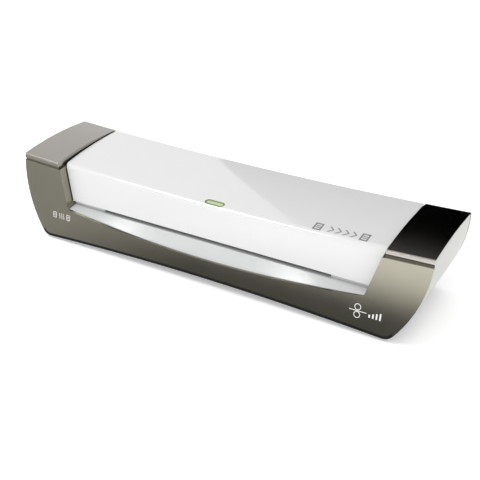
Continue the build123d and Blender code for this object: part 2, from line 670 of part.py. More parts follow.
def make_tact_switch():
    """Switch housing with the plunger's bore."""
    housing = block((-SWITCH_HALF, SWITCH_HALF), (-SWITCH_HALF, SWITCH_HALF), (BOARD_TOP, SWITCH_TOP))
    bore = rod("Z", (0, 0), PLUNGER_RADIUS + BUTTON_GAP, BOARD_TOP + BORE_FLOOR, SWITCH_TOP + 1)
    return button_place() * (housing - bore)


def make_button_board():
    """Small circuit board under the button, on the ends of the top cover's two posts."""
    reach = BOARD_POST_X + 2 * BOARD_POST_HALF
    span_z = (BOARD_TOP - BOARD_WALL, BOARD_TOP)
    board = block((-reach, reach), (-BOARD_HALF_WIDTH, BOARD_HALF_WIDTH), span_z)
    return button_place() * board


# ================================================================ chassis
def tab_spots():
    """Screw places of the side plates' feet."""
    x = PLATE_X + PLATE_WALL + TAB_REACH / 2
    rows = (PLATE_FRONT_Y + TAB_DEPTH / 2, PLATE_REAR_Y - TAB_DEPTH / 2)
    return [(side * x, y) for side in (1, -1) for y in rows]


def board_spots():
    """Screw places of the control board."""
    return [(x, y) for x in (BOARD_SPAN_X[0] + 4, BOARD_SPAN_X[1] - 4)
            for y in (BOARD_SPAN_Y[0] + 4, BOARD_SPAN_Y[1] - 4)]


def casing_spots():
    """Places of the screws that hold the base tray to the side panels."""
    return [(sx * CASING_SCREW_X, sy * CASING_SCREW_Y) for sx in (1, -1) for sy in (1, -1)]


def upright_slot(y, z, width, travel):
    """Slot in the YZ plane, centred at a height, along Z."""
    slot = SlotOverall(width + travel, width, rotation=90)
    return Pos(0, y, z) * extrude(Plane.YZ * slot, amount=FAR / 2, both=True)


def make_side_plate():
    """Right steel side plate with its feet, bores, slots and spring post."""
    plate = block((PLATE_X, PLATE_X + PLATE_WALL), (PLATE_FRONT_Y, PLATE_REAR_Y), (PLATE_FOOT_Z, PLATE_TOP_Z))
    for y in (HOT_Y, PULL_Y):
        plate -= rod("X", (y, LOWER_Z), BUSH_RADIUS, 0, FAR)
        plate -= upright_slot(y, UPPER_Z + LIFT_TRAVEL / 2, SLOT_WIDTH, LIFT_TRAVEL)
    plate -= rod("X", (IDLER_Y, IDLER_Z), IDLER_PIN_RADIUS, 0, FAR)
    plate -= rod("X", (CAM_Y, CAM_Z), CAM_SHAFT_RADIUS + RUNNING, 0, FAR)
    for y, z in TIE_SPOTS:
        plate -= rod("X", (y, z), TIE_RADIUS, 0, FAR)
    for y in GUIDE_SPOTS:
        plate -= rod("X", (y, GUIDE_Z), GUIDE_RADIUS, 0, FAR)
    corner = [e for e in plate.edges() if e.center().Y < PLATE_FRONT_Y + 0.1
              and e.center().Z > PLATE_TOP_Z - 0.1]
    plate = chamfer(corner, PLATE_CORNER)
    outer = PLATE_X + PLATE_WALL
    for x, y in tab_spots()[:2]:
        plate += block((outer, outer + TAB_REACH), (y - TAB_DEPTH / 2, y + TAB_DEPTH / 2),
                       (PLATE_FOOT_Z, PLATE_FOOT_Z + PLATE_WALL))
        plate -= rod("Z", (x, y), SCREW_RADIUS, PLATE_FOOT_Z - 1, PLATE_FOOT_Z + PLATE_WALL + 1)
    post = rod("X", (LIFT_BAR_Y, SPRING_POST_Z[0]), SPRING_POST_RADIUS, outer, outer + SPRING_POST_END)
    return plate + post


def make_tie_bars():
    """Two round bars that hold the side plates apart."""
    reach = PLATE_X + PLATE_WALL
    return [rod("X", spot, TIE_RADIUS, -reach, reach) for spot in TIE_SPOTS]


def make_bushes(z, seat_x, seat_wall, flange_out):
    """Four flanged bushes, one at each end of a pair of rollers."""
    bushes = []
    for y in (HOT_Y, PULL_Y):
        flange_x = seat_x + seat_wall if flange_out else seat_x - BUSH_FLANGE_WALL
        bush = rod("X", (y, z), BUSH_RADIUS, seat_x, seat_x + seat_wall)
        bush += rod("X", (y, z), BUSH_FLANGE, flange_x, flange_x + BUSH_FLANGE_WALL)
        bush -= rod("X", (y, z), SHAFT_RADIUS + RUNNING, 0, FAR)
        bushes += both_sides(bush)
    return bushes


def make_idler_pin():
    """Pin that the idler gear turns on, from the side plate to the drive bracket."""
    return rod("X", (IDLER_Y, IDLER_Z), IDLER_PIN_RADIUS, PLATE_X, BRACKET_X + BRACKET_WALL)


# ================================================================ rollers and gears
def make_shaft(y, z):
    """Steel roller shaft."""
    return rod("X", (y, z), SHAFT_RADIUS, SHAFT_LEFT_X, SHAFT_RIGHT_X)


def make_sleeve(y, z):
    """Silicone sleeve pressed on a roller shaft."""
    sleeve = rod("X", (y, z), ROLLER_RADIUS, -ROLLER_HALF, ROLLER_HALF)
    return sleeve - rod("X", (y, z), SHAFT_RADIUS, -FAR, FAR)


def involute_angle(radius, base):
    """Polar angle of an involute at a radius, from the start of the curve."""
    if radius <= base:
        return 0.0
    roll = math.sqrt((radius / base)**2 - 1)
    return roll - math.atan(roll)


def make_gear(y, z, teeth, phase, bore):
    """Spur gear along X with involute teeth; phase is the angle of one tooth in the YZ plane."""
    pitch = MODULE * teeth / 2
    base = pitch * math.cos(math.radians(20))
    root = pitch - 1.25 * MODULE
    tip = pitch + 0.95 * MODULE
    half_tooth = (math.pi * MODULE / 4 - TOOTH_PLAY) / pitch + involute_angle(pitch, base)
    flank = []
    for step in range(5):
        radius = max(root, base) + (tip - max(root, base)) * step / 4
        flank.append((radius, half_tooth - involute_angle(radius, base)))
    points = []
    for tooth in range(teeth):
        centre = phase + tooth * 2 * math.pi / teeth
        points.append((root, centre - half_tooth - 0.02))
        points += [(radius, centre - half) for radius, half in flank]
        points += [(radius, centre + half) for radius, half in reversed(flank)]
        points.append((root, centre + half_tooth + 0.02))
    outline = Polyline(*[(r * math.cos(a), r * math.sin(a)) for r, a in points], close=True)
    blank = make_face(outline) - Circle(bore)
    return Pos(GEAR_X, y, z) * extrude(Plane.YZ * blank, amount=GEAR_WIDTH)


def meshed(phase, teeth, towards, other_teeth):
    """Tooth phase of a gear that meshes with another in a given direction from it."""
    fraction = (towards - phase) * teeth / (2 * math.pi) % 1
    return towards + math.pi - (0.5 - fraction) * 2 * math.pi / other_teeth


def gear_phases():
    """Tooth phases of the train, worked out from the idler."""
    to_hot = math.atan2(LOWER_Z - IDLER_Z, HOT_Y - IDLER_Y)
    to_pull = math.atan2(LOWER_Z - IDLER_Z, PULL_Y - IDLER_Y)
    lower_hot = meshed(0.0, GEAR_TEETH, to_hot, GEAR_TEETH)
    lower_pull = meshed(0.0, GEAR_TEETH, to_pull, GEAR_TEETH)
    return {
        "idler": 0.0,
        "lower_hot": lower_hot,
        "lower_pull": lower_pull,
        "upper_hot": meshed(lower_hot, GEAR_TEETH, math.pi / 2, GEAR_TEETH),
        "upper_pull": meshed(lower_pull, GEAR_TEETH, math.pi / 2, GEAR_TEETH),
        "pinion": meshed(lower_pull, GEAR_TEETH, math.radians(PINION_ANGLE), PINION_TEETH),
    }


# ================================================================ lifting frame
def make_lift_plate():
    """Right lift plate: carries the upper bushes and rises when the cam pushes its tab."""
    tab_z = CAM_Z + CAM_RADIUS + CAM_GAP
    foot_z = UPPER_Z - BUSH_FLANGE - 1
    span_y = (HOT_Y - LIFT_MARGIN, PULL_Y + LIFT_MARGIN)
    plate = block((LIFT_X, LIFT_X + LIFT_WALL), span_y, (foot_z, LIFT_BAR_Z + LIFT_BAR_RADIUS + 0.5))
    plate += block((LIFT_X, LIFT_X + LIFT_WALL), (span_y[1], CAM_Y + 4), (tab_z, LIFT_BAR_Z + 1))
    for y in (HOT_Y, PULL_Y):
        plate -= rod("X", (y, UPPER_Z), BUSH_RADIUS, 0, FAR)
    for y in GUIDE_SPOTS:
        plate -= upright_slot(y, GUIDE_Z - LIFT_TRAVEL / 2, 2 * (GUIDE_RADIUS + GUIDE_SLACK), LIFT_TRAVEL)
    plate -= rod("X", (LIFT_BAR_Y, LIFT_BAR_Z), LIFT_BAR_RADIUS, 0, FAR)
    post_end = PLATE_X + PLATE_WALL + SPRING_POST_END
    start = LIFT_X + LIFT_WALL
    return plate + rod("X", (LIFT_BAR_Y, SPRING_POST_Z[1]), SPRING_POST_RADIUS, start, post_end)


def make_guide_pins():
    """Headed pins of the side plates that guide the lift plates."""
    pins = []
    head_x = LIFT_X + LIFT_WALL + GUIDE_SLACK
    for y in GUIDE_SPOTS:
        pin = rod("X", (y, GUIDE_Z), GUIDE_RADIUS, PLATE_X, head_x)
        pin += rod("X", (y, GUIDE_Z), GUIDE_RADIUS + 1.5, head_x, head_x + 1)
        pins += both_sides(pin)
    return pins


def make_pressure_springs():
    """Coil springs that pull the upper rollers down."""
    x = LIFT_X + LIFT_WALL + SPRING_RADIUS + GUIDE_SLACK
    foot = SPRING_POST_Z[0] + SPRING_POST_RADIUS + SPRING_WIRE
    height = SPRING_POST_Z[1] - SPRING_POST_RADIUS - SPRING_WIRE - foot
    path = Helix(pitch=height / 8, height=height, radius=SPRING_RADIUS - SPRING_WIRE)
    start = Plane(origin=path @ 0, z_dir=path % 0)
    coil = sweep(start * Circle(SPRING_WIRE), path=path)
    return both_sides(Pos(x, LIFT_BAR_Y, foot) * coil)


def make_release_cams():
    """Round cams set off centre on the ends of the release shaft."""
    cam = rod("X", (CAM_Y - CAM_THROW, CAM_Z), CAM_RADIUS, LIFT_X - 0.4, LIFT_X + LIFT_WALL + 0.6)
    cam -= rod("X", (CAM_Y, CAM_Z), CAM_SHAFT_RADIUS, 0, FAR)
    return both_sides(cam)


def make_release_lever():
    """Finger lever of the release shaft, with grip ribs on its tip."""
    span = (LEVER_X - LEVER_WIDTH / 2, LEVER_X + LEVER_WIDTH / 2)
    tip_y = REAR_Y - SEAM
    lever = rod("X", (CAM_Y, CAM_Z), CAM_SHAFT_RADIUS + LEVER_WALL, span[0], span[1])
    lever += block(span, (CAM_Y, tip_y), (CAM_Z - LEVER_WALL / 2, CAM_Z + LEVER_WALL / 2))
    for step in range(4):
        lever += rod("X", (tip_y - 1.2 - 2 * step, CAM_Z + LEVER_WALL / 2), 0.6, span[0] + 2, span[1] - 2)
    return lever - rod("X", (CAM_Y, CAM_Z), CAM_SHAFT_RADIUS, -FAR, FAR)


# ================================================================ drive
def make_drive_bracket():
    """Plate that carries the motor and the idler pin, on three pillars."""
    span_y = (IDLER_Y - BRACKET_MARGIN, PINION_Y + BRACKET_MARGIN)
    plate = block((BRACKET_X, BRACKET_X + BRACKET_WALL), span_y, (PLATE_FOOT_Z, BRACKET_TOP_Z))
    plate -= rod("X", (PINION_Y, PINION_Z), MOTOR_BOSS, 0, FAR)
    for spot in BRACKET_PILLARS:
        plate += rod("X", spot, TIE_RADIUS, PLATE_X + PLATE_WALL, BRACKET_X)
    return plate - rod("X", (IDLER_Y, IDLER_Z), IDLER_PIN_RADIUS, 0, FAR)


def make_motor():
    """Motor can with its boss in the bracket and a bore for its shaft."""
    start = BRACKET_X + BRACKET_WALL
    can = rod("X", (PINION_Y, PINION_Z), MOTOR_RADIUS, start, start + MOTOR_LENGTH)
    can += rod("X", (PINION_Y, PINION_Z), MOTOR_BOSS, BRACKET_X - 1, start)
    can += rod("X", (PINION_Y, PINION_Z), MOTOR_BOSS, start + MOTOR_LENGTH, start + MOTOR_LENGTH + MOTOR_TAIL)
    return can - rod("X", (PINION_Y, PINION_Z), MOTOR_SHAFT_RADIUS + RUNNING, 0, start + MOTOR_LENGTH - 2)


def make_motor_shaft():
    """Motor shaft, from the pinion into the can."""
    end = BRACKET_X + BRACKET_WALL + MOTOR_LENGTH - MOTOR_BOSS
    return rod("X", (PINION_Y, PINION_Z), MOTOR_SHAFT_RADIUS, GEAR_X - 1, end)


# ================================================================ heaters and guides
def make_heater_plate(upper):
    """Aluminium heater plate with a rounded lead-in for the pouch."""
    face_z = SLOT_TOP_Z if upper else SLOT_FLOOR_Z
    span = (face_z, face_z + HEATER_WALL) if upper else (face_z - HEATER_WALL, face_z)
    plate = block((-PLATE_X, PLATE_X), (HEATER_FRONT_Y, HEATER_FRONT_Y + HEATER_DEPTH), span)
    lead = [e for e in plate.edges() if abs(e.center().Y - HEATER_FRONT_Y) < 0.01
            and abs(e.center().Z - face_z) < 0.01 and e.length > PLATE_X]
    return chamfer(lead, HEATER_WALL / 2)


def make_heater_strip(upper):
    """Flat ceramic heater on the back of a heater plate."""
    back_z = SLOT_TOP_Z + HEATER_WALL if upper else SLOT_FLOOR_Z - HEATER_WALL
    span = (back_z, back_z + STRIP_WALL) if upper else (back_z - STRIP_WALL, back_z)
    mid_y = HEATER_FRONT_Y + HEATER_DEPTH / 2
    return block((-ROLLER_HALF, ROLLER_HALF), (mid_y - STRIP_DEPTH / 2, mid_y + STRIP_DEPTH / 2), span)


def strip_top():
    """Height of the back of the upper heater strip."""
    return SLOT_TOP_Z + HEATER_WALL + STRIP_WALL


def make_thermostat():
    """Round thermostat with two terminals, on the upper heater."""
    mid_y = HEATER_FRONT_Y + HEATER_DEPTH / 2
    top_z = strip_top() + THERMOSTAT_RADIUS
    body = rod("Z", (THERMOSTAT_X, mid_y), THERMOSTAT_RADIUS, strip_top(), top_z)
    for side in (-1, 1):
        x = THERMOSTAT_X + side * TAB_PITCH
        body += block((x - TAB_PITCH / 2, x + TAB_PITCH / 2), (mid_y - 0.4, mid_y + 0.4), (top_z, top_z + 4))
    return body


def make_thermal_fuse():
    """Cylindrical thermal fuse with its leads, on the upper heater."""
    mid_y = HEATER_FRONT_Y + HEATER_DEPTH / 2
    spot = (mid_y, strip_top() + FUSE_RADIUS)
    fuse = rod("X", spot, FUSE_RADIUS, FUSE_X - FUSE_LENGTH / 2, FUSE_X + FUSE_LENGTH / 2)
    return fuse + rod("X", spot, FUSE_RADIUS / 4, FUSE_X - FUSE_LENGTH, FUSE_X + FUSE_LENGTH)


def make_centre_guides():
    """Two flat guides that carry the pouch between the roller pairs."""
    middle = (HOT_Y + PULL_Y) / 2
    half = (PULL_Y - HOT_Y) / 2 - ROLLER_RADIUS - 1.5
    span_y = (middle - half, middle + half)
    lower = block((-PLATE_X, PLATE_X), span_y, (SLOT_FLOOR_Z - TRAY_WALL, SLOT_FLOOR_Z))
    upper = block((-PLATE_X, PLATE_X), span_y, (SLOT_TOP_Z, SLOT_TOP_Z + TRAY_WALL))
    return [lower, upper]


def make_exit_guide():
    """Ribbed shelf that carries the pouch out through the rear panel."""
    top_z = PATH_Z - EXIT_HEIGHT / 2
    start_y = PULL_Y + ROLLER_RADIUS + 1
    guide = block((-PLATE_X, PLATE_X), (start_y, REAR_Y - WALL), (top_z - TRAY_WALL, top_z))
    under_z = top_z - TRAY_WALL
    for index in range(RIBS):
        x = (index - (RIBS - 1) / 2) * RIB_PITCH
        guide += block((x - 1, x + 1), (start_y, REAR_Y - WALL), (under_z - RIB_HEIGHT, under_z))
    return guide - block((PLATE_X - 1, PLATE_X), (PLATE_REAR_Y, REAR_Y), (0, RIDGE_Z))


# ================================================================ electrics
def make_control_board():
    """Control board with its four screw holes."""
    board = block(BOARD_SPAN_X, BOARD_SPAN_Y, (PLATE_FOOT_Z, PLATE_FOOT_Z + BOARD_WALL))
    for x, y in board_spots():
        board -= rod("Z", (x, y), SCREW_RADIUS, 0, FAR)
    return board


def make_transformer():
    """Small mains transformer: a laminated core around a wound bobbin."""
    x = sum(BOARD_SPAN_X) / 2
    z = PLATE_FOOT_Z + BOARD_WALL
    half_x, half_y, height = CORE_HALF_X, CORE_HALF_Y, CORE_HEIGHT
    core = block((x - half_x, x + half_x), (CORE_Y - half_y, CORE_Y + half_y), (z, z + height))
    winding = block((x - half_x + 3, x + half_x - 3), (CORE_Y - half_y - 4, CORE_Y + half_y + 4),
                    (z + 2, z + height - 2))
    return core + winding


def make_board_parts():
    """Relay, capacitors, fuse and connector of the control board, as separate solids."""
    x = sum(BOARD_SPAN_X) / 2
    z = PLATE_FOOT_Z + BOARD_WALL
    relay = block((x - 9, x + 1), (2, 18), (z, z + 12))
    big_can = rod("Z", (x + 8, 4), 4.0, z, z + 12)
    small_can = rod("Z", (x + 8, 14), 3.0, z, z + 8)
    fuse = rod("X", (23, z + 3), 2.6, x - 9, x + 9)
    socket = block((x - 5, x + 5), (BOARD_SPAN_Y[0], BOARD_SPAN_Y[0] + 3), (z, z + 5))
    return [relay, big_can, small_can, fuse, socket]


def make_mains_inlet():
    """Two-pole inlet in the rear panel, with a stadium-shaped socket."""
    span_y = (REAR_Y - INLET_DEPTH, REAR_Y)
    body = block((INLET_X - INLET_WIDTH / 2, INLET_X + INLET_WIDTH / 2), span_y,
                 (INLET_Z - INLET_HEIGHT / 2, INLET_Z + INLET_HEIGHT / 2))
    socket = Plane.XZ * SlotOverall(INLET_PITCH + INLET_HEIGHT - 4, INLET_HEIGHT - 4)
    cavity = along_y(socket, 0, INLET_DEPTH)
    return body - Pos(INLET_X, REAR_Y - INLET_DEPTH + 3, INLET_Z) * cavity


def make_inlet_pins():
    """Two round pins of the mains inlet."""
    foot = REAR_Y - INLET_DEPTH + 3
    return [rod("Y", (INLET_X + side * INLET_PITCH / 2, INLET_Z), INLET_PIN_RADIUS, foot, REAR_Y - 4)
            for side in (-1, 1)]


def make_motor_leads():
    """Lead from the control board along the front of the base tray to the motor."""
    z = PLATE_FOOT_Z + BOARD_WALL + 2
    x = sum(BOARD_SPAN_X) / 2
    far_x = BRACKET_X + BRACKET_WALL + MOTOR_LENGTH / 2
    near_y = PINION_Y - MOTOR_RADIUS
    points = ((x, BOARD_SPAN_Y[0], z), (x, LEAD_Y, z), (far_x, LEAD_Y, z), (far_x, near_y - 14, z),
              (far_x, near_y - 1, PINION_Z))
    path = FilletPolyline(*points, radius=4)
    start = Plane(origin=path @ 0, z_dir=path % 0)
    return sweep(start * Circle(LEAD_RADIUS), path=path)


# ================================================================ feet and screws
def make_rubber_feet(form):
    """Four rubber feet, cut to the arched underside."""
    feet = []
    for sx in (1, -1):
        for sy in (1, -1):
            foot = rod("Z", (sx * FOOT_X, sy * FOOT_Y), FOOT_RADIUS, 0, BOTTOM_MID_Z)
            rim = [e for e in foot.edges() if e.center().Z < 0.1 and e.geom_type == GeomType.CIRCLE]
            feet.append(fillet(rim, 0.8) - form)
    return feet


def make_screws(spots, head_foot, shank_end):
    """Pan-head screws standing upright, head down or head up."""
    screws = []
    for (x, y), foot, end in zip(spots, head_foot, shank_end):
        up = end > foot
        head = (foot, foot + SCREW_HEAD_WALL - SEAM) if up else (foot - SCREW_HEAD_WALL + SEAM, foot)
        screw = rod("Z", (x, y), SCREW_HEAD - SEAM, *head)
        shank = (head[1], end) if up else (end, head[0])
        screw += rod("Z", (x, y), SCREW_RADIUS, *shank)
        cross_z = head[0] if up else head[1]
        screw -= Pos(x, y, cross_z) * Box(3.2, 0.7, 1.2)
        screw -= Pos(x, y, cross_z) * Box(0.7, 3.2, 1.2)
        screws.append(screw)
    return screws


def make_casing_screws():
    """Screws from below, through the base tray into the side panels."""
    spots = casing_spots()
    feet = [bottom_z(x) + SEAM for x, _ in spots]
    return make_screws(spots, feet, [CASING_SCREW_TOP for _ in spots])


def make_chassis_screws():
    """Screws that hold the side plates' feet and the control board to the tray's bosses."""
    tabs = tab_spots()
    boards = board_spots()
    tab_head = PLATE_FOOT_Z + PLATE_WALL + SCREW_HEAD_WALL - SEAM
    board_head = PLATE_FOOT_Z + BOARD_WALL + SCREW_HEAD_WALL - SEAM
    screws = make_screws(tabs, [tab_head for _ in tabs], [PLATE_FOOT_Z - SCREW_DEPTH for _ in tabs])
    ends = [PLATE_FOOT_Z - SCREW_DEPTH for _ in boards]
    return screws + make_screws(boards, [board_head for _ in boards], ends)


# ================================================================ writing the parts
def save(name, shapes):
    """Write one node; several solids stay separate in it."""
    solids = []
    for shape in shapes if isinstance(shapes, list) else [shapes]:
        solids += shape.solids()
    kept = solids[0] if len(solids) == 1 else Compound(children=solids)
    export_step(kept, f"parts/{name}.step")


def build_casing():
    """Outer shells."""
    form = casing(0)
    shell = form - casing(WALL)
    cover = make_top_cover()
    save("front_frame", make_front_frame(form))
    right_cap = make_cap(form)
    save("right_end_cap", right_cap)
    save("left_end_cap", right_cap.mirror(Plane.YZ))
    right_panel = make_side_panel(shell)
    save("right_side_panel", right_panel)
    save("left_side_panel", right_panel.mirror(Plane.YZ))
    save("rear_panel", make_rear_panel())
    save("base_tray", make_base_tray(shell))
    save("top_cover", cover)
    save("entry_tray", make_entry_tray())
    save("rubber_feet", make_rubber_feet(form))
    save("power_button", make_power_button(cover_form(0, COVER_ROUND)))


def build_inside():
    """Chassis, rollers, drive, heaters and electrics."""
    plate = make_side_plate()
    save("right_side_plate", plate)
    save("left_side_plate", plate.mirror(Plane.YZ))
    save("tie_bars", make_tie_bars())
    save("lower_bushes", make_bushes(LOWER_Z, PLATE_X, PLATE_WALL, False))
    save("upper_bushes", make_bushes(UPPER_Z, LIFT_X, LIFT_WALL, True))
    phases = gear_phases()
    for name, y, z in (("lower_hot", HOT_Y, LOWER_Z), ("lower_pull", PULL_Y, LOWER_Z),
                       ("upper_hot", HOT_Y, UPPER_Z), ("upper_pull", PULL_Y, UPPER_Z)):
        save(f"{name}_shaft", make_shaft(y, z))
        save(f"{name}_sleeve", make_sleeve(y, z))
        save(f"{name}_gear", make_gear(y, z, GEAR_TEETH, phases[name], SHAFT_RADIUS))
    save("idler_gear", make_gear(IDLER_Y, IDLER_Z, GEAR_TEETH, phases["idler"], IDLER_PIN_RADIUS + RUNNING))
    save("idler_pin", make_idler_pin())
    save("motor_pinion", make_gear(PINION_Y, PINION_Z, PINION_TEETH, phases["pinion"], MOTOR_SHAFT_RADIUS))
    save("motor_shaft", make_motor_shaft())
    save("motor", make_motor())
    save("drive_bracket", make_drive_bracket())
    lift = make_lift_plate()
    save("right_lift_plate", lift)
    save("left_lift_plate", lift.mirror(Plane.YZ))
    reach = LIFT_X + LIFT_WALL
    save("lift_bar", rod("X", (LIFT_BAR_Y, LIFT_BAR_Z), LIFT_BAR_RADIUS, -reach, reach))
    save("guide_pins", make_guide_pins())
    save("pressure_springs", make_pressure_springs())
    cam_reach = LIFT_X + LIFT_WALL + 0.6
    save("release_shaft", rod("X", (CAM_Y, CAM_Z), CAM_SHAFT_RADIUS, -cam_reach, cam_reach))
    save("release_cams", make_release_cams())
    save("release_lever", make_release_lever())
    for name, upper in (("upper", True), ("lower", False)):
        save(f"{name}_heater_plate", make_heater_plate(upper))
        save(f"{name}_heater_strip", make_heater_strip(upper))
    save("heat_cutouts", [make_thermostat(), make_thermal_fuse()])
    save("pouch_guides", make_centre_guides())
    save("exit_guide", make_exit_guide())
    save("control_board", make_control_board())
    save("transformer", make_transformer())
    save("board_parts", make_board_parts())
    save("mains_inlet", make_mains_inlet())
    save("inlet_pins", make_inlet_pins())
    save("motor_leads", make_motor_leads())
    save("tact_switch", make_tact_switch())
    save("switch_plunger", make_switch_plunger())
    save("button_board", make_button_board())
    save("casing_screws", make_casing_screws())
    save("chassis_screws", make_chassis_screws())


if __name__ == "__main__":
    os.makedirs("parts", exist_ok=True)
    build_casing()
    build_inside()
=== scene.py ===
"""Looks of the pouch laminator: finishes, printed marks, button window and studio, on its frame."""
import logging
import math
from dataclasses import dataclass, field
from enum import Enum
from typing import Callable, Optional, Sequence

import bmesh
import bpy
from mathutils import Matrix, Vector
from mathutils.bvhtree import BVHTree


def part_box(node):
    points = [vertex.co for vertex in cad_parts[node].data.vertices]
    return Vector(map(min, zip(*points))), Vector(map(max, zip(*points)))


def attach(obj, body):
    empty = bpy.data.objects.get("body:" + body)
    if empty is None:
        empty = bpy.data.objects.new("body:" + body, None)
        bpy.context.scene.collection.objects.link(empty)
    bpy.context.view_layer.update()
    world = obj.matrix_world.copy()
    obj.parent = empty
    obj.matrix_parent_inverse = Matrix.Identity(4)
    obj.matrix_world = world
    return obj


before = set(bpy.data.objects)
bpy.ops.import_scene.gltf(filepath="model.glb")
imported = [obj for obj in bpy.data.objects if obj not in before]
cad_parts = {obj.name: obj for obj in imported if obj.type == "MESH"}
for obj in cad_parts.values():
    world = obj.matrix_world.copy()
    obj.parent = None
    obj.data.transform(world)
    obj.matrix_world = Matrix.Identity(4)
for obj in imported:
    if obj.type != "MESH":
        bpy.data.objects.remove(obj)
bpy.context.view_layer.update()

MM = 0.001
LOG = logging.getLogger("laminator")

Colour = tuple[float, float, float]

# places and settings that several pieces use
DUST_COLOUR: Colour = (0.62, 0.60, 0.56)
WEAR_NOISE_SCALE = 260.0
BUMP_DISTANCE = 0.0004
SKIN_DEPTH = 0.002             # how deep light goes into translucent plastic
FRONT_START_Y = -0.12          # searches for the front start here
TOP_START_Z = 0.2              # searches for the top start here
WAVE_PARTS = 12
RING_PARTS = 24


class Finish(Enum):
    """Named finishes of the machine's pieces."""

    CAP_LACQUER = "cap_lacquer"
    FRAME_LACQUER = "frame_lacquer"
    GLOSS_WHITE = "gloss_white"
    TRAY_WHITE = "tray_white"
    PANEL_WHITE = "panel_white"
    BASE_BLACK = "base_black"
    REAR_BLACK = "rear_black"
    FOOT_RUBBER = "foot_rubber"
    BLACK_NYLON = "black_nylon"
    LEVER_GREY = "lever_grey"
    GUIDE_BLACK = "guide_black"
    ACETAL = "acetal"
    BUSH_POLYMER = "bush_polymer"
    SILICONE = "silicone"
    CERAMIC = "ceramic"
    SHEET_STEEL = "sheet_steel"
    BRIGHT_STEEL = "bright_steel"
    SPRING_STEEL = "spring_steel"
    ZINC_SCREW = "zinc_screw"
    ALUMINIUM = "aluminium"
    BRASS = "brass"
    MOTOR_CAN = "motor_can"
    TRANSFORMER = "transformer"
    CIRCUIT_BOARD = "circuit_board"
    LEAD_RED = "lead_red"
    GREEN_RIM = "green_rim"
    LIGHT_PIPE = "light_pipe"
    WHITE_PRINT = "white_print"
    GREY_PRINT = "grey_print"
    PALE_PRINT = "pale_print"


